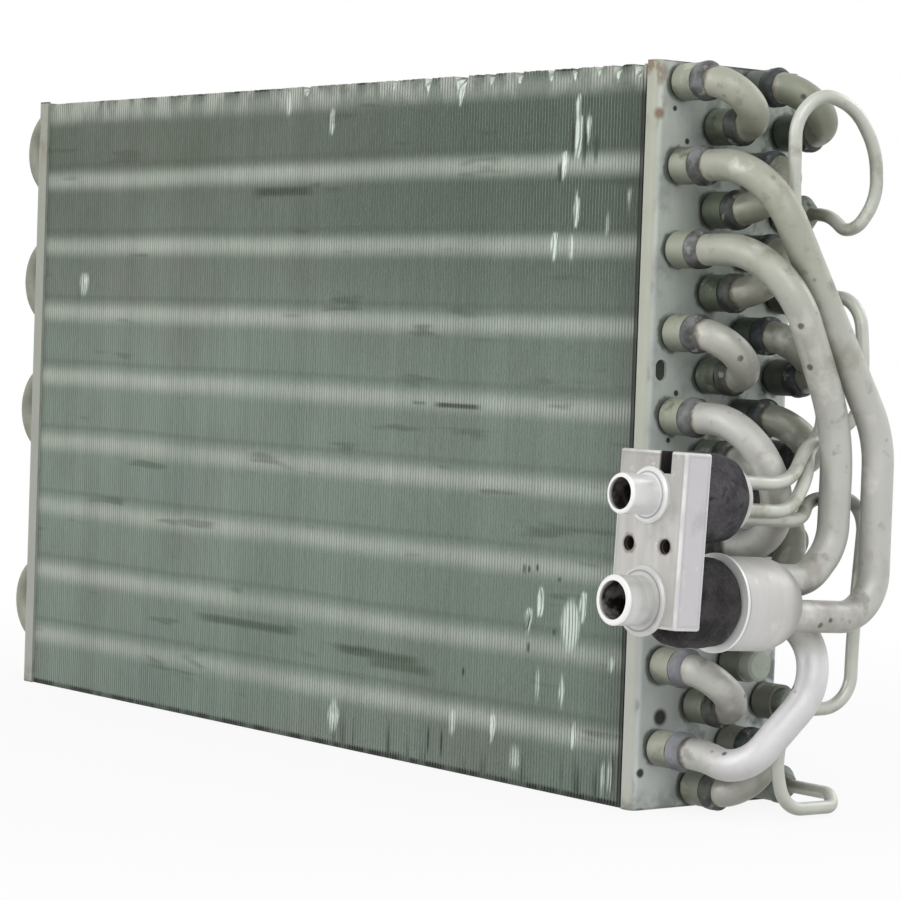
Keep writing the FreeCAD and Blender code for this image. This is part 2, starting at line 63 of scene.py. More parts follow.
# Each dent: X and Z of its middle, half its width and height, and how far it opens the foils
DENTS = (
    (141.5, 212.5, 1.4, 3.6, 0.8), (142.1, 204, 1.8, 7.4, 1.4), (146.8, 206, 1.3, 4.6, 0.6),
    (135.9, 195, 1.7, 3.8, 1.2), (142.3, 180.5, 1.4, 5.6, 1.0), (132.4, 170, 1.6, 4.0, 1.0),
    (140.6, 169, 1.4, 3.4, 0.5), (157, 176, 1.4, 3.4, 0.35), (166.6, 184, 1.4, 3.6, 0.35),
    (126.3, 53, 1.8, 3.8, 1.2), (131.8, 58.7, 1.7, 4.4, 1.1), (146.5, 53, 5.4, 9, 0.55),
    (152.3, 59.7, 1.6, 4.6, 1.2), (131.8, 33, 1.4, 7, 0.35), (143.4, 32, 1.4, 5, 0.6),
    (110.4, 17.4, 1.6, 4.4, 1.1), (90, 16, 2.2, 3.4, 0.6), (149.8, 18.5, 1.4, 4.0, 0.8),
    (166.2, 42.6, 1.4, 3.6, 0.5), (121.9, 8.6, 3.8, 3.8, 0.4), (164, 8, 1.3, 6.4, 0.5),
    (167.2, 9, 1.3, 7, 0.6), (-143.1, 155.5, 4.0, 4.0, 0.7), (25.3, 10.5, 3.8, 5.0, 0.8),
    (13.5, 212, 1.6, 4.4, 0.9), (-12, 219, 2.4, 3.6, 0.6),
)

# Each nick in the top edge: its X, half its width at the top, its depth, and its force
NICKS = (
    (66, 2.0, 6, 1.2), (83.4, 3.6, 11, 1.8), (99, 1.8, 4, 1.0), (113, 1.7, 4, 1.2),
    (128.1, 1.5, 5, 1.1), (139.6, 1.4, 5, 1.0), (150.8, 1.6, 4, 0.8), (159.6, 2.0, 5, 1.2),
    (169, 2.4, 5, 1.4), (-2, 2.4, 4, 0.9), (48, 1.4, 4, 0.9),
)

# Each dark mark on the foils' front edges: where it starts and ends in X, its Z, half its height,
# and its force
DARK_MARKS = (
    (-34, 5, 188.3, 2.2, 0.72), (74, 100, 118, 1.2, 0.85), (63, 71, 118.2, 0.8, 0.5),
    (-62, 6, 36.5, 2.2, 0.6), (24, 74, 33.5, 2.2, 0.6), (42, 80, 30.8, 2.2, 0.5),
)

# Each dark slit between two foils: its X and Z, and half its height
SLITS = (
    (123.5, 68.4, 1.8), (126, 68.5, 1.4), (129.9, 69.2, 1.3), (125.4, 51.8, 3.2), (139, 50, 1.3),
    (126.8, 44, 2.0), (94.8, 32.8, 1.6), (140.5, 66.4, 1.0), (77.8, 9, 5.5), (84.7, 8.5, 5.5),
    (168.5, 10, 7.0), (139.2, 202, 7.0), (145, 200, 8.0), (133.6, 192, 4.0), (150.4, 199, 5.0),
)


def put(tree, kind, *values, settings=None, **named):
    """Adds a node; values fill its inputs in order, named ones by name, and sockets are linked."""
    node = tree.nodes.new(kind)
    for key, value in (settings or {}).items():
        setattr(node, key, value)
    filled = list(zip(node.inputs, values))
    filled += [(node.inputs[key.replace("_", " ")], value) for key, value in named.items()]
    for socket, value in filled:
        if isinstance(value, bpy.types.NodeSocket):
            tree.links.new(value, socket)
        elif value is not None:
            socket.default_value = value
    return node


def result(tree, kind, *values, **named):
    """The first output of a new node."""
    return put(tree, kind, *values, **named).outputs[0]


def tree_of(*values):
    """The tree that the first socket among some values belongs to."""
    return next(value.id_data for value in values if isinstance(value, bpy.types.NodeSocket))


def work_out(operation, *values, clamp=False):
    """The result of one arithmetic step, in a shader or a geometry tree."""
    settings = {"operation": operation, "use_clamp": clamp}
    return result(tree_of(*values), "ShaderNodeMath", *values, settings=settings)


def times(first, *others):
    """The product of some values."""
    for other in others:
        first = work_out("MULTIPLY", first, other)
    return first


def how_far(value, middle):
    """How far a value is from another, whichever is larger."""
    return work_out("ABSOLUTE", work_out("SUBTRACT", value, middle))


def spread(value, low, high, to_low=0.0, to_high=1.0):
    """Maps a range to another with soft ends."""
    return result(
        value.id_data, "ShaderNodeMapRange", value, low, high, to_low, to_high,
        settings={"interpolation_type": "SMOOTHSTEP"},
    )


def spread_mm(value, low, high, to_low=0.0, to_high=1.0):
    """The same for a length, whose range is given in millimetres."""
    return spread(value, low * MM, high * MM, to_low, to_high)


def tree_with_inputs(name, inputs):
    """A geometry tree that makes its own mesh, with named inputs for its sizes."""
    tree = bpy.data.node_groups.new(name, "GeometryNodeTree")
    for label, kind in inputs:
        tree.interface.new_socket(name=label, in_out="INPUT", socket_type="NodeSocket" + kind)
    tree.interface.new_socket(name="Geometry", in_out="OUTPUT", socket_type="NodeSocketGeometry")
    given = tree.nodes.new("NodeGroupInput").outputs
    return tree, given


def close_tree(tree, geometry, material, smooth):
    """Ends a geometry tree with real mesh, its shading and its material."""
    real = result(tree, "GeometryNodeRealizeInstances", geometry)
    shaded = result(tree, "GeometryNodeSetShadeSmooth", real, Shade_Smooth=smooth)
    painted = result(tree, "GeometryNodeSetMaterial", shaded, Material=material)
    put(tree, "NodeGroupOutput", painted)


def made_piece(name, tree, sizes, start=None):
    """A plain mesh object made by a geometry tree from the sizes that are given by name."""
    piece = bpy.data.objects.new(name, start or bpy.data.meshes.new(name))
    bpy.context.scene.collection.objects.link(piece)
    maker = piece.modifiers.new("maker", "NODES")
    maker.node_group = tree
    for item in tree.interface.items_tree:
        if item.in_out == "INPUT" and item.name in sizes:
            maker[item.identifier] = sizes[item.name]
    graph = bpy.context.evaluated_depsgraph_get()
    mesh = bpy.data.meshes.new_from_object(
        piece.evaluated_get(graph), preserve_all_data_layers=True, depsgraph=graph,
    )
    piece.modifiers.clear()
    piece.data = mesh
    mesh.name = name
    return piece


def axes(place):
    """X, Y and Z of a place."""
    return put(place.id_data, "ShaderNodeSeparateXYZ", place).outputs


def point(x, y, z):
    """A place from its X, Y and Z."""
    return result(tree_of(x, y, z), "ShaderNodeCombineXYZ", x, y, z)


def new_finish(name):
    """A node material, its surface shader, and the object's own coordinates."""
    finish = bpy.data.materials.new(name)
    finish.use_nodes = True
    tree = finish.node_tree
    place = put(tree, "ShaderNodeTexCoord").outputs["Object"]
    return finish, tree.nodes["Principled BSDF"], place


def clouds(place, scale, detail, stretch=(1, 1, 1)):
    """Soft noise, as a value from 0 to 1, stretched along the axes."""
    tree = place.id_data
    mapped = result(tree, "ShaderNodeMapping", Vector=place, Scale=stretch)
    return result(
        tree, "ShaderNodeTexNoise", Vector=mapped, Scale=scale, Detail=detail, Roughness=0.55,
    )


def colour(red, green, blue):
    """A colour as it looks on a screen, from 0 to 255, as the shader needs it."""
    def linear(value):
        share = value / 255
        return share / 12.92 if share <= 0.04045 else ((share + 0.055) / 1.055) ** 2.4
    return (linear(red), linear(green), linear(blue), 1.0)


def between(factor, *pair, kind="MIX"):
    """A colour between two, or the second laid over the first in another way."""
    first, second = (colour(*value) if isinstance(value, tuple) else value for value in pair)
    # The mix node keeps its two colours in the seventh and eighth input
    node = put(
        tree_of(factor, *pair), "ShaderNodeMix", factor, *[None] * 5, first, second,
        settings={"data_type": "RGBA", "blend_type": kind},
    )
    return node.outputs[2]


def stained(place, surface, stain, scale, low, high, most):
    """Lays a stain over a colour where soft noise is high."""
    return between(spread(clouds(place, scale, 5), low, high, 0.0, most), surface, stain)


def coat(shader, surface, rough, metallic=0.0):
    """Gives the shader its colour, its roughness and its share of metal."""
    links = surface.id_data.links
    links.new(surface, shader.inputs["Base Color"])
    links.new(rough, shader.inputs["Roughness"])
    shader.inputs["Metallic"].default_value = metallic


def bump(shader, height, distance):
    """Gives the shader a relief."""
    tree = height.id_data
    made = result(tree, "ShaderNodeBump", Distance=distance, Height=height)
    tree.links.new(made, shader.inputs["Normal"])


# Colours as a screen shows them, from 0 to 255; the two of a pair are mixed by soft noise
TOP_COAT = ((122, 133, 118), (131, 141, 129))
FOOT_COAT = ((158, 175, 162), (166, 181, 169))
BAND_COAT = ((209, 218, 206), (221, 227, 217))
ROSY_COAT = (148, 146, 134)
FIN_SHADE = (84, 101, 85)
BAND_LINE = (70, 80, 66)
GAP_LIGHT = (220, 232, 221)
SMUDGE = (78, 90, 70)
DARK_MARK = (62, 74, 52)
SLIT_SHADE = (44, 54, 44)
DARK_LINE_AND_GAP_SHADOW = (34, 36, 30)
TOP_DUST = (196, 200, 190)
BARE_FOIL = (244, 246, 242)


def foil_finish():
    finish, shader, place = new_finish("coated_foil")
    tree = finish.node_tree
    x, y, z = axes(place)
    # How far a point lies above the nearest tube of the row that it's close to
    at_back = times(work_out("GREATER_THAN", y, 0.0), TUBE_PITCH / 2)
    shifted = work_out("SUBTRACT", z, LOWEST_FRONT_TUBE_Z - TUBE_PITCH / 2)
    shifted = work_out("ADD", shifted, at_back)
    above = work_out("FLOORED_MODULO", shifted, TUBE_PITCH)
    above = work_out("SUBTRACT", above, TUBE_PITCH / 2)
    uneven = work_out("SUBTRACT", clouds(place, 11, 2, (1, 1, 2)), 0.5)
    above = work_out("MULTIPLY_ADD", uneven, 2.2 * MM, above)
    upper_side = spread(above, 1.2 * MM, BAND_ABOVE, 1.0, 0.0)
    lower_side = spread(above, -BAND_BELOW, 0.6 * MM, 0.0, 1.0)
    worn = spread(clouds(place, 9, 2, (1, 1, 3)), 0.25, 0.75, 0.78, 1.0)
    band = times(upper_side, lower_side, worn, spread_mm(z, 206, 214, 1.0, 0.5))
    patches = spread(clouds(place, 16, 5, (1, 1, 1.5)), 0.35, 0.65)
    lower = spread_mm(z, 105, 214, 1.0, 0.0)
    dull = between(lower, between(patches, *TOP_COAT), between(patches, *FOOT_COAT))
    rosy = spread(clouds(place, 13, 2, (1, 1, 1.6)), 0.52, 0.72, 0.0, 0.35)
    dull = between(rosy, dull, ROSY_COAT)
    # Painted shade: the coat between the tubes darkens toward the right end and the top
    shade = times(spread_mm(x, -70, 165, 0.1, 1.0), spread(lower, 0.0, 1.0, 1.0, 0.32))
    dull = between(shade, dull, FIN_SHADE)
    pale = between(patches, *BAND_COAT)
    surface = between(band, dull, pale)
    # A darker line lies just above each tube
    line = spread_mm(how_far(above, BAND_ABOVE + 0.9 * MM), 0.3, 1.4, 0.22, 0.0)
    surface = between(line, surface, BAND_LINE)
    foil_number = work_out("FLOOR", times(x, FOIL_COUNT / STACK_WIDTH))
    each = result(
        tree, "ShaderNodeTexWhiteNoise", W=foil_number, settings={"noise_dimensions": "1D"},
    )
    broad = spread(clouds(place, 60, 3, (1, 0.2, 0.12)), 0.3, 0.7, 0.93, 1.06)
    # The foils' front edges catch more light than the gaps, so their colour carries painted shade
    front_edge_shade = spread_mm(y, *EDGE_TURNS, 0.61, 1.0)
    streak = times(spread(each, 0.0, 1.0, 0.96, 1.04), broad, front_edge_shade)
    grey = result(tree, "ShaderNodeCombineColor", streak, streak, streak)
    surface = between(1.0, surface, grey, kind="MULTIPLY")
    # Painted light on the foils' sides just behind the front edge, where the gaps are in shade
    painted_gap_light = times(
        spread_mm(x, -170, 170, 0.45, 0.82), spread_mm(z, 5, 60, 0.75, 1.0),
        spread_mm(y, *EDGE_TURNS), spread_mm(y, -27.4, -25, 1.0, 0.0),
    )
    surface = between(painted_gap_light, surface, GAP_LIGHT)
    smudge = clouds(place, 24, 2, (1, 1, 7))
    surface = between(spread(smudge, 0.63, 0.74, 0.0, 0.45), surface, SMUDGE)
    at_front = spread_mm(y, -28, -23, 1.0, 0.0)
    for left, right, height, half_height, force in DARK_MARKS:
        length = right - left
        along = how_far(x, (left + right) / 2 * MM)
        along = spread_mm(along, length * 0.3, length * 0.55, 1.0, 0.0)
        across = spread_mm(how_far(z, height * MM), half_height * 0.23, half_height, force, 0.0)
        surface = between(times(along, across, at_front), surface, DARK_MARK)
    for slit_x, slit_z, half_height in SLITS:
        across = spread_mm(how_far(x, slit_x * MM), 0.4, 0.95, 0.7, 0.0)
        along = how_far(z, slit_z * MM)
        along = spread_mm(along, half_height * 0.3, half_height * 1.1, 1.0, 0.0)
        surface = between(times(along, across, at_front), surface, SLIT_SHADE)
    # Dark broken lines run along the top and the foot, and painted shadow darkens the gap beside
    # the right flange
    broken = spread(clouds(place, 70, 3, (1, 1, 0.2)), 0.42, 0.56)
    top_line = times(spread_mm(z, 223.1, 223.8), broken)
    foot_line = times(spread_mm(z, 1.1, 2.4, 1.0, 0.0), spread(broken, 0.0, 1.0, 0.55, 1.0))
    strokes = spread(clouds(place, 240, 1, (1, 1, 0.06)), 0.54, 0.66)
    strokes = times(strokes, spread_mm(z, 3, 16, 0.65, 0.0), spread_mm(x, -20, 60))
    foot_line = work_out("MAXIMUM", foot_line, strokes)
    flange_gap_shadow = spread_mm(x, 169.8, 171.3, 0.0, 0.95)
    softly = times(spread_mm(x, 156, 170, 0.0, 0.25), at_front)
    flange_gap_shadow = work_out("MAXIMUM", flange_gap_shadow, softly)
    dark = times(work_out("MAXIMUM", top_line, foot_line), at_front)
    dark = work_out("MAXIMUM", dark, flange_gap_shadow)
    surface = between(times(dark, 0.9), surface, DARK_LINE_AND_GAP_SHADOW)
    ragged = spread(clouds(place, 90, 3, (1, 1, 0.6)), 0.42, 0.6)
    dusty = times(spread_mm(z, 214, 222.4, 0.0, 0.75), ragged, at_front)
    surface = between(dusty, surface, TOP_DUST)
    bent = put(tree, "ShaderNodeAttribute", settings={"attribute_name": "bent"}).outputs["Fac"]
    torn = spread(clouds(place, 330, 3, (1, 1, 0.4)), 0.42, 0.57, 0.1, 1.0)
    torn = times(torn, spread(each, 0.1, 0.7, 0.5, 1.0))
    bare = times(spread(bent, 0.12, 0.95), torn)
    surface = between(bare, surface, BARE_FOIL)
    rough = spread(clouds(place, 300, 3), 0.2, 0.8, 0.5, 0.72)
    coat(shader, surface, rough, 0.15)
    bump(shader, clouds(place, 900, 3), 0.05 * MM)
    return finish


def foil_stack_tree(material):
    tree, given = tree_with_inputs("foil_stack", (
        ("Left", "Float"), ("Right", "Float"), ("Front", "Float"), ("Back", "Float"),
        ("Height", "Float"), ("Foils", "Int"), ("Thickness", "Float"), ("Front Strip", "Float"),
        ("Waver", "Float"), ("Seed", "Float"),
    ))
    half_depth = times(work_out("SUBTRACT", given["Back"], given["Front"]), 0.5)
    foil = result(
        tree, "GeometryNodeMeshCube", Size=point(given["Thickness"], 2.0, given["Height"]),
        Vertices_X=2, Vertices_Y=3, Vertices_Z=FOIL_ROWS,
    )
    across, along, up = axes(result(tree, "GeometryNodeInputPosition"))
    # The middle points lie close behind the front edge, so that only a front strip bends
    in_middle = work_out("SUBTRACT", 1.0, work_out("ABSOLUTE", along))
    forward = times(in_middle, work_out("SUBTRACT", given["Front Strip"], half_depth))
    at_y = work_out("MULTIPLY_ADD", along, half_depth, forward)
    at_z = work_out("MULTIPLY_ADD", given["Height"], 0.5, up)
    foil = result(tree, "GeometryNodeSetPosition", foil, Position=point(across, at_y, at_z))
    middle_y = times(work_out("ADD", given["Back"], given["Front"]), 0.5)
    start = point(given["Left"], middle_y, 0.0)
    end = point(given["Right"], middle_y, 0.0)
    row = result(
        tree, "GeometryNodeMeshLine", Count=given["Foils"], Start_Location=start, Offset=end,
        settings={"mode": "END_POINTS"},
    )
    stack = result(tree, "GeometryNodeInstanceOnPoints", row, Instance=foil)
    stack = result(tree, "GeometryNodeRealizeInstances", stack)
    place = result(tree, "GeometryNodeInputPosition")
    x, y, z = axes(place)
    bent = 0.0
    for dent_x, dent_z, half_width, half_height, push in DENTS:
        aside = work_out("DIVIDE", work_out("SUBTRACT", x, dent_x * MM), half_width * MM)
        above = work_out("DIVIDE", work_out("SUBTRACT", z, dent_z * MM), half_height * MM)
        reach = work_out("MULTIPLY_ADD", aside, aside, times(above, above))
        force = work_out("SUBTRACT", 1.0, reach, clamp=True)
        bent = work_out("MULTIPLY_ADD", force, push, bent)
    below_top = work_out("SUBTRACT", given["Height"], z)
    nicked = 0.0
    for nick_x, half_width, nick_depth, push in NICKS:
        aside = work_out("DIVIDE", how_far(x, nick_x * MM), half_width * MM)
        down = work_out("DIVIDE", below_top, nick_depth * MM)
        left_over = work_out("SUBTRACT", work_out("SUBTRACT", 1.0, aside), down, clamp=True)
        nicked = work_out("MULTIPLY_ADD", left_over, 1.4 * push, nicked)
    near_front = spread_mm(y, -28.5, -23.5, 1.0, 0.0)
    near_top = spread_mm(z, 205, 224)
    near_back = spread_mm(y, 23.5, 28.5)
    edges = work_out("MAXIMUM", near_front, near_back)
    opened = times(work_out("MULTIPLY_ADD", nicked, 0.45, bent), near_front)
    bent = times(work_out("ADD", bent, nicked), near_front)
    stretched = result(
        tree, "ShaderNodeVectorMath", place, (420.0, 30.0, 26.0),
        settings={"operation": "MULTIPLY"},
    )
    waver = result(
        tree, "ShaderNodeTexNoise", Vector=stretched, W=given["Seed"], Scale=1.0, Detail=2.0,
        settings={"noise_dimensions": "4D"},
    )
    sideways = work_out("SUBTRACT", waver, 0.5)
    gentle = times(sideways, given["Waver"], edges)
    strong = times(opened, sideways, 3.0 * MM)
    drop = times(nicked, near_front, 2.2 * MM)
    uneven_top = times(work_out("ABSOLUTE", sideways), 1.6 * MM)
    drop = times(work_out("ADD", drop, uneven_top), near_top)
    offset = point(work_out("ADD", gentle, strong), times(opened, 0.7 * MM), times(drop, -1.0))
    stack = result(
        tree, "GeometryNodeStoreNamedAttribute", stack, Name="bent", Value=bent,
        settings={"data_type": "FLOAT", "domain": "POINT"},
    )
    stack = result(tree, "GeometryNodeSetPosition", stack, Offset=offset)
    close_tree(tree, stack, material, False)
    return tree


fin_low, fin_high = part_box("fin_pack")
fins = made_piece("fin_foils", foil_stack_tree(foil_finish()), {
    "Left": fin_low.x + 0.5 * MM, "Right": fin_high.x - 0.5 * MM, "Front": fin_low.y,
    "Back": fin_high.y, "Height": fin_high.z, "Foils": FOIL_COUNT, "Thickness": FOIL_THICKNESS,
    "Front Strip": FRONT_STRIP, "Waver": 0.24 * MM, "Seed": 3.0,
})
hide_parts("fin_pack")
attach(fins, "root")


# End plates
# Two sheets of aluminium, 1 mm thick, folded over the fins at the front and the back. Bare,
# dull and a little stained, with brown spots along the front edge where water stood.
PLATE_FACE_X = 179.0 * MM
# Each dark spot on the right plate: its Y and Z, and its radius
PLATE_SPOTS = (
    (-22.5, 210.8, 0.9), (-17.1, 201.3, 1.0), (-17.8, 125.7, 1.0), (-20.3, 111.5, 0.9),
    (-19.4, 27.8, 2.8), (-26.6, 11.3, 1.5),
)
FIRST_ROW_Y = -20.1 * MM
ROW_PITCH = 14.3 * MM


def from_point(place, middle):
    """How far a place on the surface lies from a point."""
    settings = {"operation": "DISTANCE"}
    node = put(place.id_data, "ShaderNodeVectorMath", place, middle, settings=settings)
    return node.outputs["Value"]


def from_tube(y, z):
    """How far a point lies from the axis of the nearest tube; the rows stand staggered."""
    row = work_out("DIVIDE", work_out("SUBTRACT", y, FIRST_ROW_Y), ROW_PITCH)
    nearest = work_out("ROUND", row)
    side = times(work_out("SUBTRACT", row, nearest), ROW_PITCH)
    odd = work_out("FLOORED_MODULO", nearest, 2.0)
    rise = work_out("SUBTRACT", z, LOWEST_FRONT_TUBE_Z - TUBE_PITCH / 2)
    rise = work_out("MULTIPLY_ADD", odd, TUBE_PITCH / 2, rise)
    rise = work_out("SUBTRACT", work_out("FLOORED_MODULO", rise, TUBE_PITCH), TUBE_PITCH / 2)
    return work_out("SQRT", work_out("MULTIPLY_ADD", rise, rise, times(side, side)))


SHEET = ((186, 196, 187), (206, 212, 204))
SHEET_STAIN = (150, 146, 152)
SHEET_GRIME = (120, 128, 120)
SHEET_FOOT_LIGHT = (212, 218, 218)
BACK_SHADE_BLOTCH = (66, 72, 66)
HOLE_GRIME_AND_SHADOW = (48, 52, 46)
FLANGE = ((182, 184, 166), (174, 178, 166))
FLANGE_FOOT = (194, 195, 189)
LEFT_FLANGE = (146, 150, 142)
RUST = (128, 98, 72)
PLATE_SPOT = (34, 33, 35)
FOOT_GRIME = (92, 94, 84)
DARK_RIM_LINE = (46, 46, 40)


def plate_finish():
    finish, shader, place = new_finish("plate_sheet")
    x, y, z = axes(place)
    broad = clouds(place, 30, 4, (1, 1, 0.5))
    surface = between(spread(broad, 0.35, 0.65), *SHEET)
    surface = stained(place, surface, SHEET_STAIN, 44, 0.52, 0.7, 0.55)
    surface = stained(place, surface, SHEET_GRIME, 90, 0.56, 0.72, 0.5)
    # Painted light: the sheet is lighter towards the foot
    surface = between(spread_mm(z, 60, 205, 0.7, 0.0), surface, SHEET_FOOT_LIGHT)
    # Painted shade in dark blotches between the tubes, stronger towards the back
    back_shade = spread(clouds(place, 95, 4), 0.5, 0.64)
    back_shade = times(back_shade, spread_mm(y, -16, 2, 0.05, 0.7))
    surface = between(back_shade, surface, BACK_SHADE_BLOTCH)
    # Dark ragged rings around each tube hole, grime with painted contact shadow
    ragged = work_out("MULTIPLY_ADD", clouds(place, 140, 3), -4.4 * MM, from_tube(y, z))
    rim = spread_mm(ragged, 3.0, 4.4, 0.7, 0.0)
    surface = between(rim, surface, HOLE_GRIME_AND_SHADOW)
    flange = between(broad, *FLANGE)
    flange = between(spread_mm(z, 10, 200, 0.7, 0.0), flange, FLANGE_FOOT)
    flange = between(spread(x, -0.1, 0.0, 0.55, 0.0), flange, LEFT_FLANGE)
    surface = between(spread_mm(y, -29.2, -28.0, 1.0, 0.0), surface, flange)
    front_edge = spread_mm(y, -29.4, -24, 1.0, 0.0)
    rusty = times(spread_mm(z, 196, 222), front_edge)
    blotch = spread(clouds(place, 150, 4, (1, 1, 0.5)), 0.46, 0.62, 0.0, 0.85)
    rust_spot = from_point(place, (PLATE_FACE_X, -28.6 * MM, 209 * MM))
    rust_spot = spread_mm(rust_spot, 0.8, 2.6, 0.85, 0.0)
    rusty = work_out("MAXIMUM", times(rusty, blotch), rust_spot)
    surface = between(rusty, surface, RUST)
    for spot_y, spot_z, radius in PLATE_SPOTS:
        away = from_point(place, (PLATE_FACE_X, spot_y * MM, spot_z * MM))
        dark = spread_mm(away, radius * 0.6, radius * 1.2, 0.95, 0.0)
        surface = between(dark, surface, PLATE_SPOT)
    foot = times(spread_mm(z, 0, 9, 0.6, 0.0), spread(clouds(place, 120, 3), 0.35, 0.6))
    surface = between(foot, surface, FOOT_GRIME)
    # A dark broken line along the sheet's top and foot edges
    rim = work_out("MAXIMUM", spread_mm(z, 224.2, 224.7), spread_mm(z, 0.3, 0.9, 1.0, 0.0))
    rim = times(rim, spread(clouds(place, 80, 3), 0.4, 0.6, 0.2, 0.9))
    surface = between(rim, surface, DARK_RIM_LINE)
    rough = spread(clouds(place, 90, 4), 0.3, 0.7, 0.46, 0.66)
    coat(shader, surface, rough, 0.25)
    fine = clouds(place, 420, 4, (1, 1, 0.15))
    bump(shader, work_out("ADD", fine, clouds(place, 40, 3)), 0.12 * MM)
    return finish


def paint(node, finish):
    """Gives a CAD piece its finish."""
    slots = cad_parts[node].data.materials
    slots.clear()
    slots.append(finish)


sheet_finish = plate_finish()
for node in ("end_plate_left", "end_plate_right"):
    paint(node, sheet_finish)


# Hairpins
# Drawn aluminium tubes, whose right ends are widened to take the bends. The front row is pale and
# matt; further back they are darker and greener with painted shade deeper in the coil, and each
# tube has painted shade on its underside.
BELL_END_X = 188.0 * MM
RING_END_X = 192.5 * MM


def by_row(y, front, second, third, last):
    """A colour for each row of tubes, from the front one to the back one."""
    surface = between(spread_mm(y, -13.8, -12.2), front, second)
    surface = between(spread_mm(y, 0.6, 2.2), surface, third)
    return between(spread_mm(y, 14.8, 16.4), surface, last)


def underneath(place, most):
    """How far a surface faces down, for painted shade on its underside."""
    facing = put(place.id_data, "ShaderNodeNewGeometry").outputs["Normal"]
    return spread(axes(facing)[2], -0.9, 0.2, most, 0.0)


FRONT_TUBE = ((146, 150, 132), (172, 176, 160))
SECOND_TUBE_SHADED = ((96, 104, 88), (138, 146, 128))
THIRD_TUBE_SHADED = (84, 92, 84)
LAST_TUBE_SHADED = (88, 94, 84)
TUBE_GRIME = (60, 66, 54)
TUBE_CHALK = (206, 206, 192)
FOOT_TUBE = (196, 194, 180)
LEFT_BEND = (142, 144, 130)
TUBE_UNDERSIDE_SHADE = (62, 66, 54)
SEAT_DARKENING = (62, 64, 54)


def hairpin_finish():
    finish, shader, place = new_finish("hairpin_tube")
    x, y, z = axes(place)
    pale = between(clouds(place, 60, 3), *FRONT_TUBE)
    second = between(clouds(place, 90, 3), *SECOND_TUBE_SHADED)
    # The rows further back are darker with painted shade, deeper in the coil
    surface = by_row(y, pale, second, THIRD_TUBE_SHADED, LAST_TUBE_SHADED)
    surface = stained(place, surface, TUBE_GRIME, 110, 0.5, 0.64, 0.65)
    surface = stained(place, surface, TUBE_CHALK, 150, 0.6, 0.7, 0.5)
    surface = between(spread_mm(z, 40, 76, 0.35, 0.0), surface, FOOT_TUBE)
    left_bends = spread_mm(x, -179, -170, 0.8, 0.0)
    surface = between(left_bends, surface, LEFT_BEND)
    # Painted shade on the tube's underside
    surface = between(underneath(place, 0.6), surface, TUBE_UNDERSIDE_SHADE)
    # Darker in a narrow ring where the tube passes the plate's face
    seat = spread_mm(how_far(x, 179.4 * MM), 0.3, 1.1, 0.8, 0.0)
    surface = between(seat, surface, SEAT_DARKENING)
    rough = spread(clouds(place, 150, 4), 0.3, 0.7, 0.42, 0.62)
    coat(shader, surface, rough, 0.25)
    bump(shader, clouds(place, 320, 4), 0.14 * MM)
    return finish


bare_tube = hairpin_finish()
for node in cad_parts:
    if node.startswith("hairpin"):
        paint(node, bare_tube)


# Return bends and suction pipes
# The same tube, bent to join two ends or to lead down to the collector. Warm light grey and
# matt, duller at the top of the coil, with flux and glue around each joint.
def spots(place, scale):
    """Small round spots, as the distance from the middle of the nearest."""
    return put(place.id_data, "ShaderNodeTexVoronoi", Vector=place, Scale=scale).outputs["Distance"]


UPPER_BEND = ((160, 163, 147), (180, 182, 168))
LOWER_BEND = ((184, 184, 177), (206, 205, 202))
BACK_BEND_SHADE = (132, 138, 122)
BEND_TAN = (136, 130, 114)
BEND_GRIME = (116, 114, 102)
BEND_CHALK = (232, 231, 224)
FOOT_PIPE = (236, 235, 238)
SPECK = (62, 56, 50)
BEND_UNDERSIDE_SHADE = (112, 110, 96)
FLUX = ((206, 202, 184), (158, 146, 122))
JOINT_GRIME = (74, 66, 60)


def bent_tube_finish():
    finish, shader, place = new_finish("bent_tube")
    x, y, z = axes(place)
    duller = between(clouds(place, 40, 3), *UPPER_BEND)
    whiter = between(clouds(place, 48, 3), *LOWER_BEND)
    surface = between(spread_mm(z, 110, 190), whiter, duller)
    # Painted shade on the bends of the back rows, near the plate
    behind = times(spread_mm(y, -16, 4), spread_mm(x, 205, 216, 0.7, 0.0))
    surface = between(behind, surface, BACK_BEND_SHADE)
    surface = stained(place, surface, BEND_TAN, 62, 0.52, 0.7, 0.5)
    surface = stained(place, surface, BEND_GRIME, 170, 0.56, 0.7, 0.5)
    surface = stained(place, surface, BEND_CHALK, 85, 0.56, 0.7, 0.55)
    foot_pipe = times(spread_mm(z, 48, 56, 0.7, 0.0), spread_mm(x, 203, 214))
    surface = between(foot_pipe, surface, FOOT_PIPE)
    specks = spots(place, 150)
    some = spread(clouds(place, 46, 2), 0.52, 0.6)
    specks = times(spread(specks, 0.1, 0.2, 0.85, 0.0), some)
    surface = between(specks, surface, SPECK)
    # Painted shade on the undersides
    surface = between(underneath(place, 0.4), surface, BEND_UNDERSIDE_SHADE)
    ragged = work_out("MULTIPLY_ADD", clouds(place, 260, 3), 3.4 * MM, x)
    flux = spread(ragged, RING_END_X + 2.4 * MM, RING_END_X + 4.6 * MM, 0.5, 0.0)
    crust = between(clouds(place, 300, 2), *FLUX)
    surface = between(flux, surface, crust)
    patchy = work_out("MULTIPLY_ADD", clouds(place, 34, 1), -9 * MM, ragged)
    patchy = work_out("ADD", patchy, 3.6 * MM)
    grime = spread(patchy, RING_END_X + 1.2 * MM, RING_END_X + 3.0 * MM, 0.85, 0.0)
    surface = between(grime, surface, JOINT_GRIME)
    rough = spread(clouds(place, 130, 4), 0.3, 0.7, 0.36, 0.56)
    coat(shader, surface, rough, 0.3)
    relief = work_out("ADD", clouds(place, 50, 2), clouds(place, 420, 3))
    bump(shader, relief, 0.12 * MM)
    return finish


